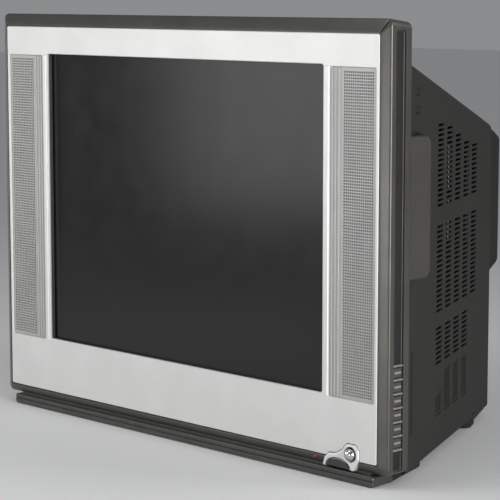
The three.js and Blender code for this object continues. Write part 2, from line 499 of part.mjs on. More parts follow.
const hollow = join(
  loft([[y0 - 2, coverRing(y0, COVER_T)[1]], coverRing(SKIRT_Y1, COVER_T), coverRing(COVER_Y1 - COVER_T, COVER_T)]),
  loft([humpRing(396, COVER_T), humpRing(COVER_Y1, COVER_T), humpRing(BACK_Y - COVER_T, COVER_T)]),
  loft([[y0 - 2, rect(346, FOOT_H + 3, 24, 2)], [SKIRT_Y1 - 3, rect(319.5, FOOT_H + 3, 24, 2)]]),
);
cover = cut(cover, hollow);
for (const s of [1, -1]) {
  const core = padBody(s, 345, PAD_X - COVER_T, PAD_Y1 - COVER_T, COVER_T + 1, 8);
  cover = cut(cover, core.subtract(box(-1000, 1000, PAD_Y1 - COVER_T, 200, 0, 600)));
}
// screw bosses: bores that run forward out of the tapering walls
for (const s of [1, -1])
  for (const [x, z] of COVER_SCREWS) {
    const boss = rod(8, s * x, y0, 100, z, 10).intersect(loft([coverRing(y0, 0), coverRing(SKIRT_Y1, 0), coverRing(COVER_Y1, 0)]));
    cover = cut(join(cover, boss), rod(5.6, s * x, 46.5, 130, z, 10), rod(2.5, s * x, 40, 50, z, 8));
  }
// vents
const slots = [];
function ventRow(z, columns, height = 14) {
  for (const k of columns)
    for (const s of [1, -1]) {
      const y = 187 + 76 * k;
      slots.push(solid(new THREE.BoxGeometry(24, 66, height).rotateZ(s * TAPER_ANGLE).translate(s * (halfWidth(y) - 1), y, z)));
    }
}
for (let i = 0; i < 3; i++) ventRow(342 + i * 32, [0, 1, 2], 20);
for (let i = 0; i < 3; i++) ventRow(216 + i * 32, [0, 1, 2], 20);
for (let i = 0; i < 2; i++) ventRow(114 + i * 32, [0, 1, 2], 20);
for (let i = -3; i <= 3; i++) slots.push(box(i * 32 - 6, i * 32 + 6, 300, 400, topZ(350) - 40, topZ(300) + 20));
cover = cut(
  cover,
  ...slots,
  box(95.1, 160.4, 425, 440, 37.6, 98.4),
  rod(6, 52, 425, 440, 48),
  rod(7.8, -140, 425, 440, 60),
);
piece("rear_cover", "cover", cover);
for (const [side, s] of [["left", -1], ["right", 1]])
  COVER_SCREWS.forEach(([x, z], k) => {
    piece(`cover_screw_${["side_upper", "side_lower", "top"][k]}_${side}`, "screw", join(rod(2.1, s * x, 28, 48, z, 8), rod(4.6, s * x, 46.8, 50, z, 10)));
  });

// ---------------------------------------------------------------- feet
for (const [side, s] of [["left", -1], ["right", 1]]) {
  piece(`front_${side}_foot`, "rubber", post(12, s * 306, 26, 0, FOOT_H - 0.3, 20));
  piece(`rear_${side}_foot`, "rubber", post(12, s * 206, 350, 0, FOOT_H - 0.3, 20));
}

export default television;
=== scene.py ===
import bpy, math, json
import numpy as np
from mathutils import Vector, Matrix


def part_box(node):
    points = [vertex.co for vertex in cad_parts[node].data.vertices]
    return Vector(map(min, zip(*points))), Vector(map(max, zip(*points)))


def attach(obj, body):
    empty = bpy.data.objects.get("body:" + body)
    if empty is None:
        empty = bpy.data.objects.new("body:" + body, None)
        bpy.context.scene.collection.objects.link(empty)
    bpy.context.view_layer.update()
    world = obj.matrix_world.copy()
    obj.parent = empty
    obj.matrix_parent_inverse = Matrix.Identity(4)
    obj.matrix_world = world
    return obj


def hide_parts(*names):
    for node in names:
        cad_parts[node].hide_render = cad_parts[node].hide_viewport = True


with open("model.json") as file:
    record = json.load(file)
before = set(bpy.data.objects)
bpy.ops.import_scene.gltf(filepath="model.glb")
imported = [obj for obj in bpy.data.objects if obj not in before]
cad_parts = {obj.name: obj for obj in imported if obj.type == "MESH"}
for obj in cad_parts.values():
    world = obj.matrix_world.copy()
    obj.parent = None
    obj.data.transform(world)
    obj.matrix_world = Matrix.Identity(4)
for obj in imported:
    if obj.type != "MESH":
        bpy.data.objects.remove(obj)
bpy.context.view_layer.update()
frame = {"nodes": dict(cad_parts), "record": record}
NODES = frame["nodes"]
# depth offset between the working frame (silver face at Y = 0, millimetres) and the row frame
Y0 = 500.0 - 1000.0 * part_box("rear_cover")[1].y
TV = "television"

# ------------------------------------------------------------------ camera
A, E = math.radians(46.22), math.radians(7.40)
cam_data = bpy.data.cameras.new("camera")
cam_data.sensor_width = 36.0
cam_data.lens = 1996.0 * 36.0 / 500.0
cam = bpy.data.objects.new("camera", cam_data)
bpy.context.scene.collection.objects.link(cam)
back = Vector((math.sin(A) * math.cos(E), -math.cos(A) * math.cos(E), math.sin(E)))
cam.location = Vector((1.971, (-1752 - Y0) / 1000, 0.603))
cam.rotation_mode = "QUATERNION"
cam.rotation_quaternion = (-back).to_track_quat("-Z", "Y")
cam_data.clip_start, cam_data.clip_end = 0.05, 60
bpy.context.scene.camera = cam


# ------------------------------------------------------------------ materials
class Mat:
    """A principled material whose colour, roughness and surface come from procedural noise in object space."""

    def __init__(self, name, metallic=0.0, specular=0.5, ior=1.5, coat=0.0, coat_rough=0.1, transmission=0.0, sheen=0.0):
        self.m = bpy.data.materials.new(name)
        self.m.use_nodes = True
        self.nt = self.m.node_tree
        self.b = next(n for n in self.nt.nodes if n.type == "BSDF_PRINCIPLED")
        self.b.inputs["Metallic"].default_value = metallic
        self.b.inputs["Specular IOR Level"].default_value = specular
        self.b.inputs["IOR"].default_value = ior
        self.b.inputs["Coat Weight"].default_value = coat
        self.b.inputs["Coat Roughness"].default_value = coat_rough
        self.b.inputs["Transmission Weight"].default_value = transmission
        self.b.inputs["Sheen Weight"].default_value = sheen
        self.tc = self.nt.nodes.new("ShaderNodeTexCoord")

    def new(self, kind, **sockets):
        n = self.nt.nodes.new("ShaderNode" + kind)
        for k, v in sockets.items():
            n.inputs[k.replace("_", " ")].default_value = v
        return n

    def link(self, a, b):
        self.nt.links.new(a, b)

    def coords(self, scale=(1, 1, 1)):
        mp = self.new("Mapping")
        mp.inputs["Scale"].default_value = scale
        self.link(self.tc.outputs["Object"], mp.inputs["Vector"])
        return mp.outputs["Vector"]

    def noise(self, size_mm, detail=2.0, rough=0.5, stretch=(1, 1, 1)):
        n = self.new("TexNoise", Scale=1000.0 / size_mm, Detail=detail, Roughness=rough)
        self.link(self.coords(stretch), n.inputs["Vector"])
        return n.outputs["Fac"]

    def voronoi(self, size_mm, feature="F1", stretch=(1, 1, 1)):
        n = self.new("TexVoronoi", Scale=1000.0 / size_mm)
        n.feature = feature
        self.link(self.coords(stretch), n.inputs["Vector"])
        return n.outputs["Distance"]

    def ramp(self, fac, stops):
        r = self.new("ValToRGB")
        el = r.color_ramp.elements
        while len(el) > 2:
            el.remove(el[-1])
        for i, (p, c) in enumerate(stops):
            e = el[i] if i < 2 else el.new(p)
            e.position = p
            e.color = (*c, 1)
        self.link(fac, r.inputs["Fac"])
        return r.outputs["Color"]

    def mix(self, fac, a, b, mode="MIX"):
        n = self.nt.nodes.new("ShaderNodeMix")
        n.data_type = "RGBA"
        n.blend_type = mode
        ins = [s for s in n.inputs if s.type == "RGBA"]
        for sock, v in ((ins[0], a), (ins[1], b)):
            if isinstance(v, tuple):
                sock.default_value = (*v, 1)
            else:
                self.link(v, sock)
        f = n.inputs["Factor"]
        if isinstance(fac, (int, float)):
            f.default_value = fac
        else:
            self.link(fac, f)
        return next(s for s in n.outputs if s.type == "RGBA")

    def remap(self, fac, lo, hi, f0=0.3, f1=0.7):
        n = self.new("MapRange")
        n.inputs["From Min"].default_value = f0
        n.inputs["From Max"].default_value = f1
        n.inputs["To Min"].default_value = lo
        n.inputs["To Max"].default_value = hi
        self.link(fac, n.inputs["Value"])
        return n.outputs["Result"]

    def math(self, op, a, b=None):
        n = self.new("Math")
        n.operation = op
        for i, v in enumerate((a, b)):
            if v is None:
                continue
            if isinstance(v, (int, float)):
                n.inputs[i].default_value = v
            else:
                self.link(v, n.inputs[i])
        return n.outputs[0]

    def color(self, c):
        self.link(c, self.b.inputs["Base Color"])
        return self

    def rough(self, fac, lo, hi):
        self.link(self.remap(fac, lo, hi), self.b.inputs["Roughness"])
        return self

    def bump(self, *layers):
        """layers: (height 0..1, depth in mm)"""
        prev = None
        for h, mm in layers:
            n = self.new("Bump", Strength=1.0, Distance=mm / 1000.0)
            self.link(h, n.inputs["Height"])
            if prev is not None:
                self.link(prev, n.inputs["Normal"])
            prev = n.outputs["Normal"]
        self.link(prev, self.b.inputs["Normal"])
        return self


def shades(c, d):
    return tuple(max(0.0, x * (1 - d)) for x in c), tuple(x * (1 + d) for x in c)


def plain(name, c, var=0.12, size=18, r=(0.4, 0.55), grain=0.5, depth=0.02, **kw):
    """Moulded or coated surface: slow colour drift, fine grain in roughness and height."""
    m = Mat(name, **kw)
    lo, hi = shades(c, var)
    slow, fine = m.noise(size, 3), m.noise(grain, 2)
    m.color(m.mix(m.remap(fine, 0, 0.35), m.ramp(slow, [(0.3, lo), (0.7, hi)]), c))
    m.rough(fine, *r)
    m.bump((m.noise(size * 0.6, 2), depth), (fine, depth * 0.6))
    return m.m


def make_silver():
    m = Mat("silver_lacquer", metallic=0.45, specular=0.45, coat=0.15, coat_rough=0.3)
    flake = m.voronoi(0.34)
    slow = m.noise(60, 3)
    base = m.ramp(slow, [(0.3, (0.66, 0.66, 0.645)), (0.7, (0.71, 0.71, 0.695))])
    m.color(m.mix(m.remap(flake, 0, 1, 0.1, 0.6), m.mix(0.35, base, (0.86, 0.86, 0.85)), base))
    m.rough(m.noise(0.5, 2), 0.40, 0.50)
    m.bump((m.noise(9, 2), 0.015), (flake, 0.006))
    return m.m


def make_frame():
    m = Mat("frame_plastic", metallic=0.6, specular=0.5, coat=0.1, coat_rough=0.25)
    brushed = m.noise(1.2, 3, 0.6, (1, 1, 0.02))
    slow = m.noise(45, 3)
    base = m.ramp(slow, [(0.3, (0.066, 0.064, 0.059)), (0.7, (0.082, 0.079, 0.073))])
    m.color(m.mix(m.remap(brushed, 0, 0.35), base, (0.112, 0.108, 0.100)))
    m.rough(brushed, 0.30, 0.42)
    m.bump((m.noise(12, 2), 0.02), (m.noise(0.5, 2), 0.006))
    return m.m


def make_cover(name="cover_plastic", k=1.0):
    m = Mat(name, specular=0.2)
    spark = m.voronoi(1.1, "SMOOTH_F1")
    slow = m.noise(70, 4)
    base = m.ramp(slow, [(0.25, (0.0140 * k, 0.0134 * k, 0.0124 * k)), (0.75, (0.0190 * k, 0.0181 * k, 0.0167 * k))])
    m.color(m.mix(m.remap(spark, 0, 0.4, 0.1, 0.7), base, (0.0265 * k, 0.0254 * k, 0.0234 * k)))
    m.rough(m.noise(2.2, 2), 0.55, 0.72)
    m.bump((m.noise(30, 2), 0.05), (spark, 0.045), (m.noise(0.35, 1), 0.01))
    return m.m


def make_grille():
    m = Mat("grille_paint", metallic=0.35, specular=0.4)
    flake = m.voronoi(0.4)
    base = m.ramp(m.noise(40, 3), [(0.3, (0.345, 0.342, 0.332)), (0.7, (0.395, 0.391, 0.38))])
    m.color(m.mix(m.remap(flake, 0, 0.35, 0.1, 0.6), base, (0.52, 0.515, 0.50)))
    m.rough(m.noise(0.6, 2), 0.38, 0.5)
    m.bump((flake, 0.008), (m.noise(6, 2), 0.02))
    return m.m


def make_screen():
    """Tinted tube glass with the dark border round the phosphor, and a very faint vertical stripe of the phosphor."""
    m = Mat("screen_glass", specular=0.42)
    sep = m.new("SeparateXYZ")
    m.link(m.tc.outputs["Object"], sep.inputs["Vector"])
    ax = m.math("ABSOLUTE", sep.outputs["X"])
    az = m.math("ABSOLUTE", m.math("SUBTRACT", sep.outputs["Z"], 0.311))
    edge = m.math("MAXIMUM", m.math("SUBTRACT", ax, 0.2665), m.math("SUBTRACT", az, 0.1985))
    phosphor = m.remap(edge, 1, 0, -0.0008, 0.0012)
    wave = m.new("TexWave", Scale=1 / 0.0028 / 6.2832 * 3.1416)
    wave.bands_direction = "X"
    m.link(m.tc.outputs["Object"], wave.inputs["Vector"])
    glow = m.mix(m.remap(wave.outputs["Fac"], 0.0, 0.25, 0.2, 0.8), (0.0022, 0.0021, 0.0021), (0.0034, 0.0033, 0.0033))
    m.color(m.mix(phosphor, (0.0008, 0.0008, 0.0008), glow))
    m.rough(m.noise(40, 2), 0.21, 0.25)
    m.bump((m.noise(120, 2), 0.03))
    return m.m


def make_board(name, c):
    m = Mat(name, specular=0.5)
    v = m.voronoi(5, "DISTANCE_TO_EDGE", (1, 0.6, 1))
    lo, hi = shades(c, 0.2)
    m.color(m.mix(m.remap(v, 0.5, 0, 0.01, 0.03), m.ramp(m.noise(9, 3), [(0.3, lo), (0.7, hi)]), (0.28, 0.30, 0.14)))
    m.rough(m.noise(2, 2), 0.35, 0.55)
    m.bump((v, 0.03), (m.noise(1.2, 2), 0.02))
    return m.m


def make_winding():
    m = Mat("enamelled_copper", metallic=0.65, specular=0.5)
    w = m.noise(1.0, 3, 0.5, (1, 0.06, 1))
    m.color(m.ramp(w, [(0.25, (0.20, 0.055, 0.015)), (0.75, (0.52, 0.19, 0.06))]))
    m.rough(w, 0.25, 0.45)
    m.bump((w, 0.25))
    return m.m


def make_brushed(name, c, stretch=(0.05, 1, 1), r=(0.28, 0.42)):
    m = Mat(name, metallic=0.9)
    w = m.noise(0.9, 3, 0.6, stretch)
    lo, hi = shades(c, 0.18)
    m.color(m.ramp(w, [(0.25, lo), (0.75, hi)]))
    m.rough(w, *r)
    m.bump((w, 0.01), (m.noise(14, 2), 0.04))
    return m.m


def make_chrome():
    m = Mat("polished_chrome", metallic=1.0)
    m.color(m.ramp(m.noise(4, 2), [(0.3, (0.56, 0.56, 0.57)), (0.7, (0.66, 0.66, 0.67))]))
    m.rough(m.noise(1.5, 2), 0.06, 0.11)
    m.bump((m.noise(3, 2), 0.004))
    return m.m


MATERIALS = {
    "cabinet": make_frame(),
    "silver": make_silver(),
    "grille": make_grille(),
    "cover": make_cover(),
    # the cover plastic at 2.3 times its brightness: painted light, standing in for the extra light falling on the grip
    # pads' faces
    "pad": make_cover("pad_plastic", 2.3),
    "rib": plain("rib_lacquer", (0.44, 0.436, 0.424), 0.05, 30, (0.32, 0.42), 0.5, 0.008, metallic=0.3),
    "cloth": plain("sound_cloth", (0.12, 0.118, 0.112), 0.15, 20, (0.8, 0.95), 0.5, 0.05, specular=0.25),
    # near-black for the strips in the side grooves and the key pocket: painted shade
    "shadow_black": plain("shadow_gap", (0.012, 0.012, 0.012), 0.2, 10, (0.5, 0.7), 0.5, 0.02, specular=0.3),
    "key_cap": plain("key_cap_plastic", (0.045, 0.044, 0.040), 0.12, 6, (0.35, 0.5), 0.4, 0.01, specular=0.5),
    # light grey for the key ridges and the bars between the keys: a painted highlight on their edges
    "key_mark": plain("key_ridge", (0.20, 0.197, 0.188), 0.06, 5, (0.28, 0.38), 0.4, 0.006, specular=0.55),
    "ir_window": plain("ir_window_tint", (0.012, 0.006, 0.010), 0.2, 8, (0.08, 0.14), 0.8, 0.004, specular=0.6, coat=0.6, coat_rough=0.05),
    "indicator": plain("indicator_lens", (0.34, 0.018, 0.012), 0.15, 3, (0.12, 0.2), 0.5, 0.004, specular=0.6),
    "chrome": make_chrome(),
    "key": plain("key_plastic", (0.17, 0.165, 0.15), 0.1, 6, (0.3, 0.42), 0.4, 0.01, specular=0.55),
    "screen_glass": make_screen(),
    "funnel": plain("graphite_coat", (0.05, 0.05, 0.052), 0.3, 25, (0.6, 0.8), 1.2, 0.06, specular=0.4),
    "neck_glass": plain("neck_glass", (0.40, 0.46, 0.44), 0.06, 12, (0.05, 0.1), 1.0, 0.004, specular=0.6, coat=0.5),
    "steel": make_brushed("zinc_steel", (0.42, 0.42, 0.43)),
    "coil_tape": plain("winding_tape", (0.035, 0.028, 0.022), 0.3, 7, (0.4, 0.6), 1.0, 0.15),
    "transformer": plain("bobbin_tape", (0.42, 0.28, 0.07), 0.18, 6, (0.35, 0.5), 0.8, 0.06),
    "ivory_plastic": plain("ivory_plastic", (0.58, 0.55, 0.45), 0.08, 14, (0.45, 0.6), 0.6, 0.02),
    "winding": make_winding(),
    "ferrite": plain("ferrite", (0.045, 0.042, 0.04), 0.25, 6, (0.6, 0.85), 0.7, 0.05),
    "board": make_board("solder_mask", (0.035, 0.12, 0.045)),
    "alloy": make_brushed("extruded_alloy", (0.52, 0.53, 0.54), (1, 1, 0.05)),
    "can": make_brushed("tinned_can", (0.50, 0.51, 0.52), (0.05, 1, 1), (0.25, 0.35)),
    "cone_paper": plain("pressed_paper", (0.022, 0.021, 0.02), 0.3, 5, (0.8, 0.95), 0.4, 0.12, specular=0.25),
    "rubber": plain("foot_rubber", (0.018, 0.018, 0.018), 0.25, 5, (0.7, 0.9), 0.5, 0.04, specular=0.3),
    "lead_sleeve": plain("lead_sleeve", (0.33, 0.025, 0.015), 0.12, 6, (0.35, 0.5), 0.6, 0.02),
    "gland_plastic": plain("gland_nylon", (0.02, 0.02, 0.02), 0.2, 4, (0.4, 0.55), 0.4, 0.02),
    "screw": make_brushed("blackened_steel", (0.12, 0.12, 0.125), (1, 1, 1), (0.3, 0.45)),
    "black_plastic": plain("black_plastic", (0.022, 0.022, 0.022), 0.2, 10, (0.4, 0.6), 0.5, 0.03),
}
SLOT_OF = {}
for sp in frame["record"]["subparts"]:
    SLOT_OF[sp["node"]] = sp.get("material_slot", sp["node"])
for n, o in NODES.items():
    o.data.materials.clear()
    o.data.materials.append(MATERIALS[SLOT_OF[n]])


# ------------------------------------------------------------------ mesh helpers (millimetres in, metres out)
def to_m(v):
    v = np.asarray(v, float).reshape(-1, 3)
    return np.column_stack([v[:, 0], v[:, 1] - Y0, v[:, 2]]) / 1000.0


def mesh_object(name, verts, faces):
    me = bpy.data.meshes.new(name)
    me.from_pydata(to_m(verts).tolist(), [], [list(map(int, f)) for f in faces])
    me.validate()
    o = bpy.data.objects.new(name, me)
    bpy.context.scene.collection.objects.link(o)
    return o


def signed_volume(verts, faces):
    v = np.asarray(verts, float)
    t = [(f[0], f[i], f[i + 1]) for f in faces for i in range(1, len(f) - 1)]
    t = np.array(t)
    return np.einsum("ij,ij->i", v[t[:, 0]], np.cross(v[t[:, 1]], v[t[:, 2]])).sum() / 6


def oriented(verts, faces):
    if signed_volume(verts, faces) < 0:
        faces = [tuple(reversed(f)) for f in faces]
    return verts, faces


def rounded(points, radii, seg=6):
    out, n = [], len(points)
    for i, p in enumerate(points):
        r = radii[i] if isinstance(radii, (list, tuple)) else radii
        p = np.array(p, float)
        if not r:
            out.append(tuple(p))
            continue
        u = np.array(points[i - 1], float) - p
        v = np.array(points[(i + 1) % n], float) - p
        u, v = u / np.linalg.norm(u), v / np.linalg.norm(v)
        half = math.acos(max(-1, min(1, float(u @ v)))) / 2
        w = (u + v) / np.linalg.norm(u + v)
        c = p + w * r / math.sin(half)
        s, e = p + u * r / math.tan(half) - c, p + v * r / math.tan(half) - c
        a0 = math.atan2(s[1], s[0])
        d = math.atan2(e[1], e[0]) - a0
        while d > math.pi:
            d -= 2 * math.pi
        while d < -math.pi:
            d += 2 * math.pi
        for k in range(seg + 1):
            a = a0 + d * k / seg
            out.append((c[0] + r * math.cos(a), c[1] + r * math.sin(a)))
    return out


def rect(w, z0, z1, r, seg=6):
    return rounded([(w, z0), (w, z1), (-w, z1), (-w, z0)], r, seg)


def rectx(x0, x1, z0, z1, r, seg=6):
    return rounded([(x1, z0), (x1, z1), (x0, z1), (x0, z0)], r, seg)


def loft_data(rings, axis="y"):
    """rings: [(position along the axis, outline)]"""
    n = len(rings[0][1])
    verts, faces = [], []
    for y, pts in rings:
        for a, b in pts:
            verts.append((a, y, b) if axis == "y" else ((y, a, b) if axis == "x" else (a, b, y)))
    for j in range(len(rings) - 1):
        for i in range(n):
            a, b = j * n + i, j * n + (i + 1) % n
            faces.append((a, b, b + n, a + n))
    faces.append(tuple(reversed(range(n))))
    faces.append(tuple(range((len(rings) - 1) * n, len(rings) * n)))
    return oriented(verts, faces)


def loft(name, rings, axis="y"):
    return mesh_object(name, *loft_data(rings, axis))


def prism(name, pts, y0, y1, axis="y"):
    return loft(name, [(y0, pts), (y1, pts)], axis)


def shrink(pts, d):
    """Outline moved inwards by d, for a convex outline given counter-clockwise or clockwise."""
    p = np.asarray(pts, float)
    c = p.mean(0)
    n = len(p)
    nx, pv = np.roll(p, -1, 0), np.roll(p, 1, 0)
    t = nx - pv
    t /= np.maximum(np.linalg.norm(t, axis=1), 1e-9)[:, None]
    nr = np.column_stack([-t[:, 1], t[:, 0]])
    s = np.sign(np.einsum("ij,ij->i", nr, c - p))
    s[s == 0] = 1
    return [tuple(x) for x in p + nr * s[:, None] * d]


def plate(name, pts, y0, y1, r=0.6, seg=3):
    """Flat moulding along Y with its front edge rounded by r."""
    rings = [(y0 + r * (1 - math.cos(math.pi / 2 * k / seg)), shrink(pts, r * (1 - math.sin(math.pi / 2 * k / seg)))) for k in range(seg + 1)]
    rings.append((y1, pts))
    return loft(name, rings)


def circle(cx, cz, r, n=32, phase=0.0):
    return [(cx + r * math.cos(2 * math.pi * k / n + phase), cz + r * math.sin(2 * math.pi * k / n + phase)) for k in range(n)]


def turned_data(profile, origin, direction=(0, 1, 0), n=48):
    """profile: [(radius, height)] from the axis to the axis, or closed."""
    d = Vector(direction).normalized()
    u = d.orthogonal().normalized()
    w = d.cross(u)
    verts, faces, rows = [], [], []
    for r, h in profile:
        if r < 1e-6:
            rows.append([len(verts)])
            verts.append(tuple(Vector(origin) + d * h))
        else:
            row = []
            for k in range(n):
                a = 2 * math.pi * k / n
                row.append(len(verts))
                verts.append(tuple(Vector(origin) + d * h + u * (r * math.cos(a)) + w * (r * math.sin(a))))
            rows.append(row)
    pairs = list(zip(rows, rows[1:]))
    if len(rows[0]) > 1 and len(rows[-1]) > 1:
        pairs.append((rows[-1], rows[0]))
    for a, b in pairs:
        for k in range(n):
            k2 = (k + 1) % n
            if len(a) == 1 and len(b) == 1:
                continue
            if len(a) == 1:
                faces.append((a[0], b[k], b[k2]))
            elif len(b) == 1:
                faces.append((a[k], b[0], a[k2]))
            else:
                faces.append((a[k], b[k], b[k2], a[k2]))
    return oriented(verts, faces)


def turned(name, profile, origin, direction=(0, 1, 0), n=48):
    return mesh_object(name, *turned_data(profile, origin, direction, n))


def box_data(x0, x1, y0, y1, z0, z1):
    return loft_data([(y0, [(x1, z0), (x1, z1), (x0, z1), (x0, z0)]), (y1, [(x1, z0), (x1, z1), (x0, z1), (x0, z0)])])


def merged(name, parts):
    """Several closed shells that don't touch, as one object."""
    verts, faces, k = [], [], 0
    for v, f in parts:
        verts += [tuple(p) for p in v]
        faces += [tuple(i + k for i in g) for g in f]
        k += len(v)
    return mesh_object(name, verts, faces)


def apply_modifiers(o):
    dg = bpy.context.evaluated_depsgraph_get()
    dg.update()
    me = bpy.data.meshes.new_from_object(o.evaluated_get(dg))
    old = o.data
    o.modifiers.clear()
    o.data = me
    bpy.data.meshes.remove(old)


def boolean(o, *others, op="DIFFERENCE"):
    for c in others:
        m = o.modifiers.new("b", "BOOLEAN")
        m.operation = op
        m.object = c
        try:
            m.solver = "MANIFOLD"
        except TypeError:
            m.solver = "EXACT"
        before = len(o.data.vertices)
        apply_modifiers(o)
        if len(o.data.vertices) == 0:
            raise RuntimeError(f"boolean emptied {o.name} with {c.name}, had {before}")
        bpy.data.objects.remove(c)
    return o


def done(o, material, body=TV, replaces=(), angle=32, weighted=True):
    o.data.materials.clear()
    o.data.materials.append(MATERIALS[material] if isinstance(material, str) else material)
    o.data.polygons.foreach_set("use_smooth", [True] * len(o.data.polygons))
    o.data.set_sharp_from_angle(angle=math.radians(angle))
    if weighted:
        w = o.modifiers.new("weighted", "WEIGHTED_NORMAL")
        w.keep_sharp = True
    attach(o, body)
    if replaces:
        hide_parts(*replaces)
    return o


# ------------------------------------------------------------------ dimensions, as in the CAD model (mm)
HALF_W, CAB_TOP, LIP_Z, SEAM_Y = 378.6, 570.6, 17.0, 42.0
SIL_W, SIL_Z0, SIL_Z1, SIL_T = 364.0, 30.0, 552.6, 3.0
OPEN_W, OPEN_Z0, OPEN_Z1 = 271.0, 108.0, 514.0
GX0, GX1, GZ0, GZ1 = 283.0, 359.0, 105.0, 512.0
TUBE_Z = 311.0
POWER_X, POWER_Z = 323.0, 37.5
IR_X, IR_Z0, IR_A, IR_B = 301.5, LIP_Z + 0.6, 21.5, 12.2
PLINTH_W, PLINTH_Z0, PLINTH_Z1 = 358.0, 0.6, 14.5
KEY_Z = [56.5 + 17.4 * i for i in range(6)]
GY0, GY1 = 15.2, 32.3
KEYS = ["source_key", "menu_key", "volume_down_key", "volume_up_key", "channel_down_key", "channel_up_key"]
COVER_W0, COVER_W1, COVER_Y1, COVER_Z0, COVER_T = 375.0, 180.0, 437.0, 13.0, 3.0
TAPER = (COVER_W0 - COVER_W1) / (COVER_Y1 - SEAM_Y)
THETA = math.atan(TAPER)
HIP = math.tan(math.radians(29))
SCREWS = [(357, 481), (357, 459), (200, 548)]


def half_width(y):
    return COVER_W0 - (y - SEAM_Y) * TAPER


def wall_top(y):
    return 515 - (y - SEAM_Y) * (102 / 395)


def top_z(y):
    return 560 - (y - SEAM_Y) * (135 / 395)


def cover_ring(y, t=0.0, seg=6, extra=0.0):
    w = half_width(y) - extra
    zt = wall_top(y) - extra * 0.4
    zT = top_z(y) - extra
    z0 = COVER_Z0 + t + extra
    hip = (zT - zt + 0.143 * t) / HIP
    zw = zt - 0.589 * t
    return rounded([(w - t, z0), (w - t, zw), (w - hip, zT - t), (-w + hip, zT - t), (-w + t, zw), (-w + t, z0)], [5, 10, 14, 14, 10, 5], seg)


def hump_ring(y, t=0.0, seg=6, extra=0.0):
    w = 148 - (y - COVER_Y1) * 0.05 - t - extra
    z0 = 172 + max(0, y - COVER_Y1) * 0.68 + t + extra
    zs, zT = wall_top(y) - 4 - 0.5 * t - extra, top_z(y) - 1.5 - t - extra
    return rounded([(w, z0), (w, zs), (w - 12, zT), (-w + 12, zT), (-w, zs), (-w, z0)], [6, 6, 6, 6, 6, 6], seg)


def round_end(ring, y1, r, seg=5, start=0):
    """Rings that round a loft over at y1."""
    return [(y1 - r + r * math.sin(math.pi / 2 * k / seg), ring(y1 - r + r * math.sin(math.pi / 2 * k / seg), 0.0, 6, r * (1 - math.cos(math.pi / 2 * k / seg)))) for k in range(start, seg + 1)]


# ------------------------------------------------------------------ silver fascia
fascia = plate("fascia_moulding", rect(SIL_W, SIL_Z0, SIL_Z1, 2.5), 0.0, SIL_T, r=1.1, seg=4)


def flared(name, pts_of, y_front, y_back, flare):
    """Cutter through a plate whose mouth opens by flare at the front."""
    return loft(name, [(y_front - 1.0, pts_of(flare + 1.0)), (y_front, pts_of(flare)), (y_front + flare, pts_of(0)), (y_back, pts_of(0))])


cut = [flared("c0", lambda d: rect(OPEN_W + 0.6 + d, OPEN_Z0 - 0.6 - d, OPEN_Z1 + 0.6 + d, 3.2 + d), 0.0, 8, 0.8)]
for s in (1, -1):
    x0, x1 = (GX0, GX1) if s > 0 else (-GX1, -GX0)
    cut.append(flared("c1", lambda d: rectx(x0 - d, x1 + d, GZ0 - d, GZ1 + d, 2.5 + d), 0.0, 8, 1.0))


def lobe(d):
    pts = [(327.5 + d, LIP_Z - d), (336.5 + d, 32), (336.5 + d, 43), (330 + d, 50 + d), (316 - d, 50 + d), (308 - d, 41 + d), (298, 35.5 + d), (285 - d, 34 + d), (278 - d, 27), (275.5 - d, LIP_Z - d)]
    return rounded(pts, [3, 7, 6, 5, 5, 5, 10, 8, 8, 1], 6)


cut.append(prism("c2", lobe(0.9), -2, 8))
fascia = boolean(fascia, *cut)
borders = []
for s in (1, -1):
    x0, x1 = (275, 281.5) if s > 0 else (-281.5, -275)
    borders.append(loft("b", [(-0.9, rectx(x0 + 0.9, x1 - 0.9, 104.9, 512.1, 0.5, 4)), (-0.75, rectx(x0 + 0.45, x1 - 0.45, 104.45, 512.55, 0.8, 4)), (-0.3, rectx(x0 + 0.1, x1 - 0.1, 104.1, 512.9, 1, 4)), (0.0, rectx(x0, x1, 104, 513, 1, 4)), (1.0, rectx(x0, x1, 104, 513, 1, 4))]))
fascia = boolean(fascia, *borders, op="UNION")
done(fascia, "silver", replaces=["silver_fascia"])

# dark reveal between the silver moulding and the glass
mask = plate("screen_surround", rect(OPEN_W + 2.0, OPEN_Z0 - 2.0, OPEN_Z1 + 2.0, 4.2), 3.2, 7.8, r=0.3, seg=2)
mask = boolean(mask, loft("c", [(1, rect(OPEN_W + 0.9, OPEN_Z0 - 0.9, OPEN_Z1 + 0.9, 3.4)), (9, rect(OPEN_W - 0.2, OPEN_Z0 + 0.2, OPEN_Z1 - 0.2, 3))]))
done(mask, "black_plastic")

# ------------------------------------------------------------------ perforated speaker grilles
PITCH, HOLE = 3.65, 1.25


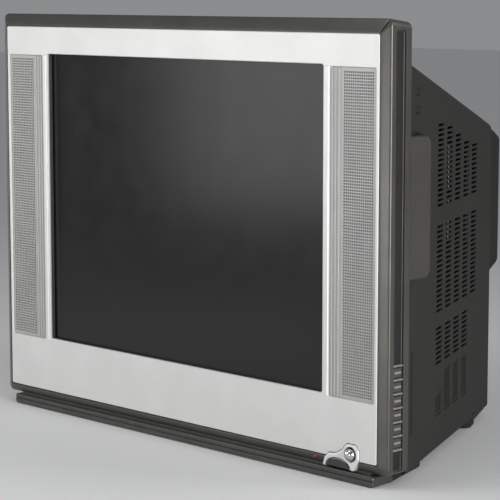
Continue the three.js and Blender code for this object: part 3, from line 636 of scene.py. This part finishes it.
def perforated(name, x0, x1, z0, z1, y0, y1):
    nx, nz = int(round((x1 - x0) / PITCH)), int(round((z1 - z0) / PITCH))
    px, pz = (x1 - x0) / nx, (z1 - z0) / nz
    verts, faces, index = [], [], {}

    def v(key, x, y, z):
        if key not in index:
            index[key] = len(verts)
            verts.append((x, y, z))
        return index[key]

    dirs = [(-1, -1), (0, -1), (1, -1), (1, 0), (1, 1), (0, 1), (-1, 1), (-1, 0)]
    hole = [(HOLE * dx / math.hypot(dx, dz), HOLE * dz / math.hypot(dx, dz)) for dx, dz in dirs]
    soft = HOLE + 0.28
    for i in range(nx):
        for j in range(nz):
            cx, cz = x0 + (i + 0.5) * px, z0 + (j + 0.5) * pz
            solid = i == 0 or j == 0 or i == nx - 1 or j == nz - 1
            for side, y in ((0, y0), (1, y1)):
                outer = [v((side, 2 * i + 1 + dx, 2 * j + 1 + dz), cx + dx * px / 2, y, cz + dz * pz / 2) for dx, dz in dirs]
                if solid:
                    faces.append(tuple(outer) if side == 0 else tuple(reversed(outer)))
                    continue
                if side == 0:
                    rim = [v((2, i, j, k), cx + hx * soft / HOLE, y, cz + hz * soft / HOLE) for k, (hx, hz) in enumerate(hole)]
                    lip = [v((3, i, j, k), cx + hx, y + 0.28, cz + hz) for k, (hx, hz) in enumerate(hole)]
                    for k in range(8):
                        k2 = (k + 1) % 8
                        faces.append((outer[k], outer[k2], rim[k2], rim[k]))
                        faces.append((rim[k], rim[k2], lip[k2], lip[k]))
                else:
                    rimb = [v((4, i, j, k), cx + hx, y, cz + hz) for k, (hx, hz) in enumerate(hole)]
                    lip = [index[(3, i, j, k)] for k in range(8)]
                    for k in range(8):
                        k2 = (k + 1) % 8
                        faces.append((outer[k2], outer[k], rimb[k], rimb[k2]))
                        faces.append((lip[k], lip[k2], rimb[k2], rimb[k]))
    # outer edge walls
    for i in range(2 * nx):
        for jj in (0, 2 * nz):
            a, b = index[(0, i, jj)], index[(0, i + 1, jj)]
            c, d = index[(1, i + 1, jj)], index[(1, i, jj)]
            faces.append((a, d, c, b) if jj == 0 else (a, b, c, d))
    for j in range(2 * nz):
        for ii in (0, 2 * nx):
            a, b = index[(0, ii, j)], index[(0, ii, j + 1)]
            c, d = index[(1, ii, j + 1)], index[(1, ii, j)]
            faces.append((a, b, c, d) if ii == 0 else (a, d, c, b))
    return mesh_object(name, *oriented(verts, faces))


for side, s in (("left", -1), ("right", 1)):
    x0, x1 = 301.2, GX1 - 0.4
    if s < 0:
        x0, x1 = -x1, -x0
    g = perforated(f"{side}_grille_sheet", x0, x1, GZ0 + 0.4, GZ1 - 0.4, 1.3, 2.6)
    done(g, "grille", replaces=[f"{side}_speaker_grille"], angle=40, weighted=False)
    # flat band along the sheet's inner edge and its upright ribs
    b0, b1 = sorted((s * (GX0 + 0.4), s * 300.9))
    band = plate(f"{side}_grille_band", rectx(b0, b1, GZ0 + 0.4, GZ1 - 0.4, 0.8, 3), 1.2, 2.8, r=0.25, seg=2)
    done(band, "grille")
    for q, x in enumerate((287.2, 293.0, 298.6)):
        sec = [(s * x + dx, y) for dx, y in ((-0.95, 1.1), (-0.85, 0.55), (-0.45, 0.15), (0, 0.02), (0.45, 0.15), (0.85, 0.55), (0.95, 1.1))]
        rib = loft(f"{side}_grille_rib_{q}", [(GZ0 + 0.9, [(px, max(py, 0.8)) for px, py in sec]), (GZ0 + 1.8, sec), (GZ1 - 1.8, sec), (GZ1 - 0.9, [(px, max(py, 0.8)) for px, py in sec])], axis="z")
        done(rib, "rib")
    # sound cloth behind the holes
    c0, c1 = sorted((s * 302.0, s * 358.0))
    cloth = plate(f"{side}_sound_cloth", rectx(c0, c1, GZ0 + 1.2, GZ1 - 1.2, 1, 3), 2.75, 3.0, r=0.05, seg=1)
    done(cloth, "cloth")

# ------------------------------------------------------------------ front cabinet
prof = [(1.5, 1.4), (1.7, 0.7), (2.3, 0.45), (4.4, 1.25), (8.0, 3.0), (12.0, 5.0), (13.6, 6.1), (14.35, 7.2), (14.6, 8.6)]
rings = []
for d, y in prof:
    k = d / 14.6
    rings.append((y, rect(SIL_W + d, SIL_Z0 - 13 * k, SIL_Z1 + 18 * k, 2.5 + 6 * k)))
rings += [(17.0, rect(HALF_W, LIP_Z, CAB_TOP - 0.8, 8.5)), (SEAM_Y - 1.2, rect(HALF_W, LIP_Z, CAB_TOP - 4.1, 8.5)), (SEAM_Y - 0.35, rect(HALF_W - 0.35, LIP_Z + 0.35, CAB_TOP - 4.5, 8.2)), (SEAM_Y, rect(HALF_W - 1.1, LIP_Z + 1.1, CAB_TOP - 5.3, 7.6))]
cab = loft("cabinet_shell", rings)


def mitre_cutter(quad, s):
    """Shallow groove that follows the frame's bevel along the mitre."""
    top = [(x, -3.0, z) for x, z in quad]
    bottom = []
    for x, z in quad:
        d = max(0.0, min(14.6, abs(x) - SIL_W))
        bottom.append((x, float(np.interp(d, [p[0] for p in prof], [p[1] for p in prof])) + 1.3, z))
    faces = [(0, 1, 2, 3), (7, 6, 5, 4)] + [((i + 1) % 4, i, i + 4, (i + 1) % 4 + 4) for i in range(4)]
    return mesh_object("mitre", *oriented(top + bottom, faces))


neck = prism("p", rect(349, 3.3, 30, 4), 7.0, SEAM_Y)
step = loft(
    "p",
    [(0.8, rect(PLINTH_W - 1.6, PLINTH_Z0 + 1.6, PLINTH_Z1 - 1.6, 2)), (1.2, rect(PLINTH_W - 0.6, PLINTH_Z0 + 0.6, PLINTH_Z1 - 0.6, 2.6)), (2.4, rect(PLINTH_W, PLINTH_Z0, PLINTH_Z1, 3)), (SEAM_Y - 0.6, rect(PLINTH_W - 4, PLINTH_Z0, PLINTH_Z1, 3)), (SEAM_Y, rect(PLINTH_W - 4.8, PLINTH_Z0 + 0.8, PLINTH_Z1 - 0.8, 2.4))],
)
cab = boolean(cab, neck, step, op="UNION")
cut = [
    prism("k", rect(SIL_W + 1.5, SIL_Z0 - 1.5, SIL_Z1 + 1.5, 3.5), -2, SIL_T + 0.6),
    # line round the plinth's front
    *[loft("k", [(-1, rect(400, 7.2, 10.2, 0.6)), (0.8, rect(400, 7.6, 9.8, 0.5)), (2.4, rect(400, 8.1, 9.3, 0.4))])],
    prism("k", lobe(0.7), -2, 5),
    loft("k", [(6.3, rect(371, 20.5, CAB_TOP - 4, 5)), (38, rect(371, 20.5, CAB_TOP - 6.8, 5))]),
    prism("k", cover_ring(SEAM_Y, 7), 37.9, SEAM_Y + 1),
    prism("k", rect(346, 6.3, 24, 2), 10, SEAM_Y + 1),
    prism("k", rect(OPEN_W + 2.2, OPEN_Z0 - 2.2, OPEN_Z1 + 2.2, 4.4), -1, 8),
    prism("k", circle(POWER_X, POWER_Z, 8.4, 40), -1, 8),
    prism("k", circle(258, 24.5, 3.1, 24), -1, 8),
]
for s in (1, -1):
    x0, x1 = (303, 356) if s > 0 else (-356, -303)
    cut.append(prism("k", rectx(x0, x1, 109, 508, 4), -1, 8))
    cut.append(turned("k", [(0, -1), (12.4, -1), (12.4, 3.3), (0, 3.3)], (s * 306, 26, 0), (0, 0, 1), n=40))
    # mitre line at the top corners of the frame
    a, b = np.array([s * (SIL_W + 0.5), SIL_Z1 + 0.5]), np.array([s * (HALF_W - 1.0), CAB_TOP + 1.6])
    t = (b - a) / np.linalg.norm(b - a)
    nrm = np.array([-t[1], t[0]])
    a, b = a - t * 3, b + t * 6
    quad = [tuple(a + nrm * 0.8), tuple(b + nrm * 0.8), tuple(b - nrm * 0.8), tuple(a - nrm * 0.8)]
    cut.append(mitre_cutter(quad, s))
    # groove in the side, its lips eased
    z0, z1 = 21.0, 556.6

    def side_rect(y0, y1, a, b, r):
        return rounded([(y1, a), (y1, b), (y0, b), (y0, a)], r, 5)

    cut.append(loft("k", [(s * 374.6, side_rect(GY0 + 0.8, GY1 - 0.8, z0 + 0.8, z1 - 0.8, 2.2)), (s * 375.2, side_rect(GY0 + 0.1, GY1 - 0.1, z0 + 0.2, z1 - 0.2, 2.8)), (s * 377.8, side_rect(GY0, GY1, z0, z1, 3)), (s * 378.6, side_rect(GY0 - 0.8, GY1 + 0.6, z0 - 0.8, z1 + 0.8, 3.8)), (s * 381.0, side_rect(GY0 - 3.2, GY1 + 3.0, z0 - 3.2, z1 + 3.2, 6))], axis="x"))
cut.append(loft("k", [(373.0, side_rect(GY0 + 0.6, GY1 - 0.6, KEY_Z[0] - 8, KEY_Z[5] + 8, 1.5)), (376.0, side_rect(GY0 + 0.6, GY1 - 0.6, KEY_Z[0] - 8, KEY_Z[5] + 8, 1.5))], axis="x"))
for z in KEY_Z:
    cut.append(prism("k", [(19.6, z - 3.6), (19.6, z + 3.6), (26.4, z + 3.6), (26.4, z - 3.6)], 360, 376, axis="x"))
cab = boolean(cab, *cut)
done(cab, "cabinet", replaces=["front_cabinet"])

# dark strips along the bottom of the grooves, and round the key stems: painted shade, standing in for the shadow deep
# in the grooves and the key pocket
for name, s, za, zb in (("groove_inlay_upper_right", 1, KEY_Z[5] + 9.2, 555.0), ("groove_inlay_lower_right", 1, 22.6, KEY_Z[0] - 9.2), ("groove_inlay_left", -1, 22.6, 555.0)):
    shade_strip = loft(name, [(s * 374.3, side_rect(GY0 + 1.2, GY1 - 1.2, za + 0.2, zb - 0.2, 1.6)), (s * 374.75, side_rect(GY0 + 1.1, GY1 - 1.1, za + 0.1, zb - 0.1, 1.8)), (s * 374.95, side_rect(GY0 + 1.5, GY1 - 1.5, za + 0.5, zb - 0.5, 1.6))], axis="x")
    done(shade_strip, "shadow_black")
shade_strip = loft("key_pocket_inlay", [(372.6, side_rect(GY0 + 0.9, GY1 - 0.9, KEY_Z[0] - 7.6, KEY_Z[5] + 7.6, 1.2)), (373.1, side_rect(GY0 + 0.9, GY1 - 0.9, KEY_Z[0] - 7.6, KEY_Z[5] + 7.6, 1.2)), (373.3, side_rect(GY0 + 1.2, GY1 - 1.2, KEY_Z[0] - 7.3, KEY_Z[5] + 7.3, 1.0))], axis="x")
shade_strip = boolean(shade_strip, *[prism("k", [(19.5, z - 3.7), (19.5, z + 3.7), (26.5, z + 3.7), (26.5, z - 3.7)], 370, 376, axis="x") for z in KEY_Z])
done(shade_strip, "shadow_black")

# bars between the side keys, flush with the cabinet's side; their lighter grey is a painted highlight along their edges
bars = []
for i in range(7):
    z = KEY_Z[0] - 8.7 + 17.4 * i
    bars.append(loft_data([(372.8, side_rect(GY0 + 0.8, GY1 - 0.4, z - 1.7, z + 1.7, 0.3)), (376.6, side_rect(GY0 + 1.0, GY1 - 0.2, z - 1.4, z + 1.4, 0.5)), (377.8, side_rect(GY0 + 2.0, GY1 - 0.4, z - 0.9, z + 0.9, 0.5)), (378.2, side_rect(GY0 + 3.2, GY1 - 1.2, z - 0.35, z + 0.35, 0.2))], axis="x"))
bars = merged("key_bars", bars)
done(bars, "key_mark")

for name, z in zip(KEYS, KEY_Z):
    y_a, y_b = GY0 + 1.8, GY1 - 1.4
    cap = loft(
        name + "_cap",
        [
            (374.6, side_rect(y_a, y_b, z - 6.0, z + 6.0, 0.6)),
            (375.4, side_rect(y_a + 0.1, y_b - 0.1, z - 5.9, z + 5.9, 0.8)),
            (376.0, side_rect(y_a + 0.5, y_b - 0.5, z - 5.5, z + 5.5, 0.9)),
            (376.2, side_rect(y_a + 1.2, y_b - 1.2, z - 4.8, z + 4.8, 1.0)),
            (376.1, side_rect(y_a + 2.0, y_b - 2.0, z - 3.6, z + 3.6, 1.0)),
        ],
        axis="x",
    )
    stem = prism("s", [(20.1, z - 3.1), (20.1, z + 3.1), (25.9, z + 3.1), (25.9, z - 3.1)], 364.4, 375.5, axis="x")
    cap = boolean(cap, stem, op="UNION")
    done(cap, "key_cap", body=name, replaces=[name])
    # raised ridge on each key cap; its lighter grey is a painted highlight
    ridge = loft(name + "_ridge", [(375.9, side_rect(y_a + 1.2, y_b - 0.6, z - 1.8, z + 1.8, 0.6)), (376.8, side_rect(y_a + 1.4, y_b - 0.8, z - 1.4, z + 1.4, 0.6)), (377.25, side_rect(y_a + 1.9, y_b - 1.3, z - 0.9, z + 0.9, 0.5)), (377.4, side_rect(y_a + 2.6, y_b - 2.0, z - 0.35, z + 0.35, 0.2))], axis="x")
    done(ridge, "key_mark", body=name)

# ------------------------------------------------------------------ button lobe, window, indicator and power button
bez = loft("button_surround", [(-2.6, lobe(-2.4)), (-2.45, lobe(-1.5)), (-2.0, lobe(-0.7)), (-1.3, lobe(-0.15)), (-0.6, lobe(0)), (4.6, lobe(0))])


def arch(d, z_low):
    a, b = IR_A + d, IR_B + d
    pts = [(IR_X + a * math.cos(q), IR_Z0 + b * math.sin(q)) for q in np.linspace(0, math.pi, 33)]
    return [(IR_X + a, z_low)] + pts + [(IR_X - a, z_low)]


bez = boolean(
    bez,
    loft("c", [(-5, arch(1.4, 8)), (-2.6, arch(0.9, 8)), (-1.7, arch(0.3, 8)), (6, arch(0.3, 8))]),
    turned("c", [(0, -6), (10.6, -6), (10.0, -2.6), (9.5, -1.6), (9.4, 6), (0, 6)], (POWER_X, 0, POWER_Z)),
)
done(bez, "silver", replaces=["button_bezel"])
win = loft("receiver_window", [(-2.2, arch(-4.2, IR_Z0 + 0.9)), (-2.1, arch(-2.2, IR_Z0 + 0.6)), (-1.7, arch(-0.8, IR_Z0 + 0.2)), (-1.1, arch(0, IR_Z0 - 0.1)), (4.4, arch(0, IR_Z0 - 0.1))])
done(win, "ir_window", replaces=["ir_window"])
led = turned("indicator_lens", [(0, 0.6), (1.0, 0.75), (1.9, 1.3), (2.4, 2.1), (2.5, 3.0), (2.5, 6.8), (3.4, 6.8), (3.4, 8.8), (0, 8.8)], (258, 0, 24.5), n=32)
done(led, "indicator", replaces=["standby_led"])
ball = [(0, -8.5)]
for k in range(1, 19):
    a = math.radians(90) * k / 15.5
    if a > math.radians(104):
        break
    ball.append((7.5 * math.sin(a), -1 - 7.5 * math.cos(a)))
ball = [(r, h) for r, h in ball if h <= 1.5]
ball += [(7.05, 1.5), (3.3, 1.5), (3.3, 8.0), (9.4, 8.0), (9.4, 9.5), (3.3, 9.5), (3.3, 26.5), (0, 26.5)]
button = turned("power_button_cap", ball, (POWER_X, 0, POWER_Z), n=64)
done(button, "chrome", body="power_button", replaces=["power_button"], angle=40)

# ------------------------------------------------------------------ tube face
face_rings = [(8.0, rect(281, TUBE_Z - 213, TUBE_Z + 213, 17)), (8.6, rect(282.8, TUBE_Z - 214.8, TUBE_Z + 214.8, 19)), (10.2, rect(284.6, TUBE_Z - 216.6, TUBE_Z + 216.6, 20.6)), (13.5, rect(285.6, TUBE_Z - 217.6, TUBE_Z + 217.6, 21.6)), (18, rect(286, TUBE_Z - 218, TUBE_Z + 218, 22)), (98, rect(286, TUBE_Z - 218, TUBE_Z + 218, 22))]
tube = loft("tube_face", face_rings)
tube = boolean(tube, loft("c", [(20.5, rect(270, TUBE_Z - 202, TUBE_Z + 202, 14)), (26, rect(274, TUBE_Z - 206, TUBE_Z + 206, 16)), (99, rect(276, TUBE_Z - 208, TUBE_Z + 208, 17))]))
done(tube, "screen_glass", replaces=["crt_panel"])

# ------------------------------------------------------------------ rear cover
y0 = SEAM_Y + 0.3
body_rings = [(y0, cover_ring(y0, 0, 6, 0.6)), (y0 + 0.6, cover_ring(y0 + 0.6)), (126, cover_ring(126)), (431, cover_ring(431))] + round_end(cover_ring, COVER_Y1, 6)[1:]
cover = loft("cover_shell", body_rings)
hump = loft("h", [(400, hump_ring(400)), (COVER_Y1, hump_ring(COVER_Y1))] + round_end(hump_ring, 500.0, 7)[:])
skirt = loft("s", [(y0, rect(352.6, PLINTH_Z0 + 0.8, 30, 3.4)), (y0 + 0.8, rect(353.3, PLINTH_Z0, 30, 4)), (124, rect(325.7, PLINTH_Z0, 30, 4)), (125.4, rect(324.8, PLINTH_Z0 + 0.7, 30, 4)), (126, rect(323.4, PLINTH_Z0 + 2.0, 30, 4))])
cover = boolean(cover, hump, skirt, op="UNION")
grips = []
for s in (1, -1):
    # rear foot post with a rib that runs out to the rear edge
    foot = turned("f", [(0, 3.3), (14, 3.3), (15, 4.3), (15.6, 12), (16.5, 20), (0, 20)], (s * 206, 350, 0), (0, 0, 1), n=40)
    grips.append(foot)
    u0, u1 = sorted((s * 203, s * 218))
    grips.append(loft("f", [(330, rectx(u0, u1, 12.5, 20, 0.5, 2)), (340, rectx(u0, u1, 4.5, 20, 2, 2)), (358, rectx(u0 if s > 0 else u0 + 4, u1 if s < 0 else u1 - 4, 4.5, 20, 2, 2)), (420, rectx(min(s * 176, s * 186), max(s * 176, s * 186), 12.4, 20, 0.5, 2))]))
    # raised grip pad, its face parallel to the cabinet's side
    def pad(y_end, a, b, r):
        return rounded([(y0, a), (y_end, a), (y_end, b), (y0, b)], [0.4, r, r, 0.4], 8)

    pad_rings = [(s * 377.4, pad(78.0, 257.5, 426.5, 9)), (s * 377.2, pad(79.4, 256.2, 427.8, 10)), (s * 376.2, pad(80.6, 255.2, 428.8, 11)), (s * 374.5, pad(81.6, 254.4, 429.6, 11)), (s * 351, pad(86, 250, 434, 12))]
    grips.append(loft("g", pad_rings if s < 0 else pad_rings, axis="x"))
cover = boolean(cover, *grips, op="UNION")
# facing plate on each grip pad, in the brighter copy of the cover plastic: painted light on the pad's face
for side, s in (("left", -1), ("right", 1)):
    def facing(y_end, a, b, r):
        return rounded([(y0 + 0.3, a), (y_end, a), (y_end, b), (y0 + 0.3, b)], [0.4, r, r, 0.4], 8)

    plate_rings = [(s * 377.6, facing(78.1, 257.4, 426.6, 9)), (s * 377.38, facing(79.6, 256.0, 428.0, 10)), (s * 376.3, facing(80.85, 254.95, 429.05, 11)), (s * 374.4, facing(81.9, 254.1, 429.9, 11)), (s * 373.6, facing(80.0, 256.0, 428.0, 11))]
    done(loft(f"grip_pad_painted_light_facing_{side}", plate_rings, axis="x"), "pad")
hollow = loft("i", [(y0 - 2, cover_ring(y0, COVER_T)), (126, cover_ring(126, COVER_T)), (434, cover_ring(434, COVER_T))])
cover = boolean(cover, hollow, loft("i", [(396, hump_ring(396, 3)), (437, hump_ring(437, 3)), (497, hump_ring(497, 3))]), loft("i", [(y0 - 2, rect(346, 6.3, 24, 2)), (123, rect(319.5, 6.3, 24, 2))]))
for s in (1, -1):
    for x, z in SCREWS:
        boss = prism("b", circle(s * x, z, 8, 32), y0, 100)
        keep = loft("k", [(y0, cover_ring(y0)), (126, cover_ring(126)), (437, cover_ring(437))])
        boss = boolean(boss, keep, op="INTERSECT")
        cover = boolean(cover, boss, op="UNION")
        cover = boolean(cover, prism("c", circle(s * x, z, 5.6, 32), 46.5, 150), prism("c", circle(s * x, z, 2.5, 16), 40, 50))


def stadium(half_len, half_h, seg=4):
    pts = []
    for k in range(seg + 1):
        a = -math.pi / 2 + math.pi * k / seg
        pts.append((half_len - half_h + half_h * math.cos(a), half_h * math.sin(a)))
    for k in range(seg + 1):
        a = math.pi / 2 + math.pi * k / seg
        pts.append((-half_len + half_h + half_h * math.cos(a), half_h * math.sin(a)))
    return pts


def wall_slot(s, y, z, half_len, half_h, lip=0.35, depth=5.0):
    """Cutter for a slot in the tapering side wall, its mouth slightly flared."""
    along = np.array([-s * math.sin(THETA), math.cos(THETA), 0.0])
    out = np.array([s * math.cos(THETA), math.sin(THETA), 0.0])
    c = np.array([s * half_width(y), y, z])
    verts, rings = [], [(-depth, 0.0), (-lip, 0.0), (0.0, lip), (0.5, lip + 0.35)]
    for d, g in rings:
        for a, b in stadium(half_len + g, half_h + g):
            verts.append(tuple(c + out * d + along * a + np.array([0, 0, b])))
    n = len(stadium(1, 0.5))
    faces = []
    for j in range(len(rings) - 1):
        for i in range(n):
            a, b = j * n + i, j * n + (i + 1) % n
            faces.append((a, b, b + n, a + n))
    faces.append(tuple(reversed(range(n))))
    faces.append(tuple(range((len(rings) - 1) * n, len(rings) * n)))
    return oriented(verts, faces)


COLS = [181 + 40.5 * k for k in range(5)]
ROW = 6.4
slots = []
for s in (1, -1):
    for k, y in enumerate(COLS):
        for i in range(18):
            z = 331.5 + ROW * i
            if z < 440 - 11.0 * k:
                slots.append(wall_slot(s, y, z, 15.6, 1.6))
        for i in range(18):
            slots.append(wall_slot(s, y, 195 + ROW * i, 15.6, 1.6))
        if k < 4:
            for i in range(8):
                slots.append(wall_slot(s, y, 127 + ROW * i, 15.6, 1.6))
cover = boolean(cover, merged("slots", slots))
# recessed panels below the vents, each with upright slots, and the long slit beside the keys
deep, through = [], []
for s in (1, -1):
    for k, y in enumerate(COLS[:4]):
        z0, z1 = 58.0, (86.0 if k == 0 else 114.0)
        along = np.array([-s * math.sin(THETA), math.cos(THETA), 0.0])
        out = np.array([s * math.cos(THETA), math.sin(THETA), 0.0])
        c = np.array([s * half_width(y), y, 0.0])

        def block(a0, a1, za, zb, d0, d1, grow=0.0, r=2.0):
            rings = [(d0, rounded([(a1, za), (a1, zb), (a0, zb), (a0, za)], r, 4)), (d1, rounded([(a1 + grow, za - grow), (a1 + grow, zb + grow), (a0 - grow, zb + grow), (a0 - grow, za - grow)], r + grow, 4))]
            verts = [tuple(c + out * d + along * a + np.array([0, 0, b])) for d, pts in rings for a, b in pts]
            n = len(rings[0][1])
            faces = [(i, (i + 1) % n, (i + 1) % n + n, i + n) for i in range(n)] + [tuple(reversed(range(n))), tuple(range(n, 2 * n))]
            return oriented(verts, faces)

        deep.append(block(-15.5, 15.5, z0, z1, -1.6, 0.6, 1.0))
        for q in range(5):
            a = -12.0 + 6.0 * q
            through.append(block(a - 1.4, a + 1.4, z0 + 3, z1 - 3, -5, 0.4, 0.0, 1.2))
    y = 62.5
    c = np.array([s * half_width(y), y, 0.0])
    deep.append(block(-3.2, 3.2, 57.0, 162.0, -1.5, 0.5, 0.5, 1.5))
cover = boolean(cover, merged("deep", deep))
cover = boolean(cover, merged("through", through))
# vents in the sloping top and in the back of the hump
top = []
for i in range(-12, 13):
    if i % 5 == 0 and abs(i) == 10:
        continue
    x = i * 8.0
    for ya, yb in ((303, 346), (354, 397)):
        za, zb = top_z(ya), top_z(yb)
        verts = []
        for dz, g in ((-14, 0.0), (-0.5, 0.0), (1.2, 0.7)):
            for px, py in rounded([(x + 1.7 + g, ya - g), (x + 1.7 + g, yb + g), (x - 1.7 - g, yb + g), (x - 1.7 - g, ya - g)], 1.5, 3):
                verts.append((px, py, top_z(py) + dz))
        n = 16
        faces = []
        for j in range(2):
            for q in range(n):
                a, b = j * n + q, j * n + (q + 1) % n
                faces.append((a, b, b + n, a + n))
        faces.append(tuple(reversed(range(n))))
        faces.append(tuple(range(2 * n, 3 * n)))
        top.append(oriented(verts, faces))
for i in range(-9, 10):
    x = i * 12.0
    for za, zb in ((236, 300), (312, 376)):
        top.append(loft_data([(490, rectx(x - 1.8, x + 1.8, za, zb, 1.5, 3)), (499.6, rectx(x - 1.8, x + 1.8, za, zb, 1.5, 3)), (501, rectx(x - 2.8, x + 2.8, za - 1, zb + 1, 2.5, 3))]))
cover = boolean(cover, merged("top", top))
cover = boolean(
    cover,
    prism("c", rectx(95.1, 160.4, 37.6, 98.4, 0.4, 2), 425, 440),
    prism("c", circle(52, 48, 6.2, 32), 425, 440),
    prism("c", circle(-140, 60, 7.8, 32), 425, 440),
)
done(cover, "cover", replaces=["rear_cover"])

# ------------------------------------------------------------------ connectors, gland, screws and feet
jack = plate("jack_panel", rectx(95.5, 160, 38, 98, 1.2, 3), 426.5, 436.4, r=0.0001, seg=1)
bpy.data.objects.remove(jack)
jack = loft("jack_panel", [(426.5, rectx(95.5, 160, 38, 98, 1.2, 3)), (435.8, rectx(95.5, 160, 38, 98, 1.2, 3)), (436.4, rectx(96.1, 159.4, 38.6, 97.4, 0.8, 3))])
jack = boolean(jack, merged("t", [box_data(100, 156, 404, 428, 26, 40)]), op="UNION")
done(jack, "black_plastic", replaces=["av_jack_panel"])
JACK_COLOURS = {}
for nm, c in (("jack_yellow", (0.62, 0.44, 0.03)), ("jack_white", (0.66, 0.65, 0.62)), ("jack_red", (0.46, 0.03, 0.025))):
    JACK_COLOURS[nm] = plain(nm, c, 0.1, 4, (0.3, 0.42), 0.4, 0.01)
nickel = make_brushed("nickel_ring", (0.62, 0.60, 0.56), (1, 1, 1), (0.2, 0.32))
for (x, z), nm in zip([(108, 84), (128, 84), (148, 84), (108, 54), (128, 54), (148, 54)], ["jack_yellow", "jack_white", "jack_red"] * 2):
    i = f"{x}_{z}"
    o = turned("jack_insulator_" + i, [(0, 434), (6.6, 434), (6.6, 437.2), (6.0, 437.8), (2.3, 437.8), (2.3, 439.0), (0, 439.0)], (x, 0, z), n=36)
    done(o, JACK_COLOURS[nm])
    o = turned("jack_sleeve_" + i, [(4.2, 436.5), (4.9, 436.5), (4.9, 443.0), (4.6, 443.3), (4.2, 443.0)], (x, 0, z), n=36)
    done(o, nickel)
    o = turned("jack_contact_" + i, [(1.0, 438), (2.0, 438), (2.0, 442.4), (1.7, 442.8), (1.0, 442.6)], (x, 0, z), n=24)
    done(o, nickel)
gl = turned("cord_gland", [(3.6, 428), (7.2, 428), (7.4, 437.4), (10.5, 437.4), (10.5, 439.4), (9.4, 440.5), (7.2, 441.2), (6.6, 446), (5.2, 447.0), (4.2, 446.6), (3.6, 445)], (-140, 0, 60), n=48)
done(gl, "gland_plastic", replaces=["mains_cord_gland"])


def cross_screw(name, x, y_head, z, r, h, shank_r, shank_y, node):
    """Pan-head screw seen from behind, with a cross recess."""
    prof = [(0, shank_y), (shank_r * 0.3, shank_y), (shank_r, shank_y + 2), (shank_r, y_head), (r, y_head), (r, y_head + h * 0.45), (r * 0.92, y_head + h * 0.75), (r * 0.7, y_head + h * 0.95), (r * 0.35, y_head + h), (0, y_head + h)]
    o = turned(name, prof, (x, 0, z), n=32)
    a = prism("c", [(x + 0.55, z - r * 0.62), (x + 0.55, z + r * 0.62), (x - 0.55, z + r * 0.62), (x - 0.55, z - r * 0.62)], y_head + h * 0.35, y_head + h + 2)
    b = prism("c", [(x + r * 0.62, z - 0.55), (x + r * 0.62, z + 0.55), (x - r * 0.62, z + 0.55), (x - r * 0.62, z - 0.55)], y_head + h * 0.35, y_head + h + 2)
    o = boolean(o, a, b)
    return done(o, "screw", replaces=[node])


for side, s in (("left", -1), ("right", 1)):
    for (x, z), k in zip(SCREWS, ("side_upper", "side_lower", "top")):
        cross_screw(f"cover_fastener_{k}_{side}", s * x, 46.8, z, 4.6, 3.2, 2.1, 28, f"cover_screw_{k}_{side}")
    for nm, x, y in ((f"front_{side}_foot", s * 306, 26), (f"rear_{side}_foot", s * 206, 350)):
        o = turned(nm + "_pad", [(0, 0.25), (4, 0.25), (5, 0), (10.6, 0), (11.6, 0.4), (12, 1.2), (12, 3.0), (0, 3.0)], (x, y, 0), (0, 0, 1), n=48)
        done(o, "rubber", replaces=[nm])

# ------------------------------------------------------------------ floor and light
floor_mat = bpy.data.materials.new("studio_floor")
floor_mat.use_nodes = True
fb = next(n for n in floor_mat.node_tree.nodes if n.type == "BSDF_PRINCIPLED")
fb.inputs["Base Color"].default_value = (0.80, 0.80, 0.80, 1)
fb.inputs["Roughness"].default_value = 0.85
me = bpy.data.meshes.new("floor")
me.from_pydata([(-14, -14, 0), (14, -14, 0), (14, 14, 0), (-14, 14, 0)], [], [(0, 1, 2, 3)])
me.materials.append(floor_mat)
floor = bpy.data.objects.new("floor", me)
bpy.context.scene.collection.objects.link(floor)

world = bpy.data.worlds.new("studio")
world.use_nodes = True
bg = next(n for n in world.node_tree.nodes if n.type == "BACKGROUND")
bg.inputs["Color"].default_value = (0.86, 0.88, 0.90, 1)
bg.inputs["Strength"].default_value = 0.30
bpy.context.scene.world = world


def area(name, at, look, size, power, color=(1, 1, 1)):
    d = bpy.data.lights.new(name, "AREA")
    d.shape = "RECTANGLE"
    d.size, d.size_y = size
    d.energy = power
    d.color = color
    o = bpy.data.objects.new(name, d)
    o.location = at
    o.rotation_mode = "QUATERNION"
    o.rotation_quaternion = (Vector(look) - Vector(at)).to_track_quat("-Z", "Y")
    bpy.context.scene.collection.objects.link(o)
    return o


AIM = (0.05, -0.15, 0.3)
area("top_key", (-0.063, -0.79, 1.426), AIM, (0.8, 0.8), 3.5)
area("left_key", (-0.586, -1.251, 0.570), AIM, (0.8, 0.8), 4.2)
area("left_fill", (-2.169, -0.744, 0.42), AIM, (0.8, 0.8), 7)
area("low_front", (0.89, -2.70, 0.10), (0.37, -0.25, 0.25), (0.6, 0.3), 11)
area("side_light", (2.338, -0.62, 0.42), AIM, (0.8, 0.8), 36)
area("back_light", (1.775, 0.846, 1.45), AIM, (0.8, 0.8), 10)

bpy.context.scene.view_settings.view_transform = "Standard"
bpy.context.scene.view_settings.look = "None"
bpy.context.scene.view_settings.exposure = 0.0
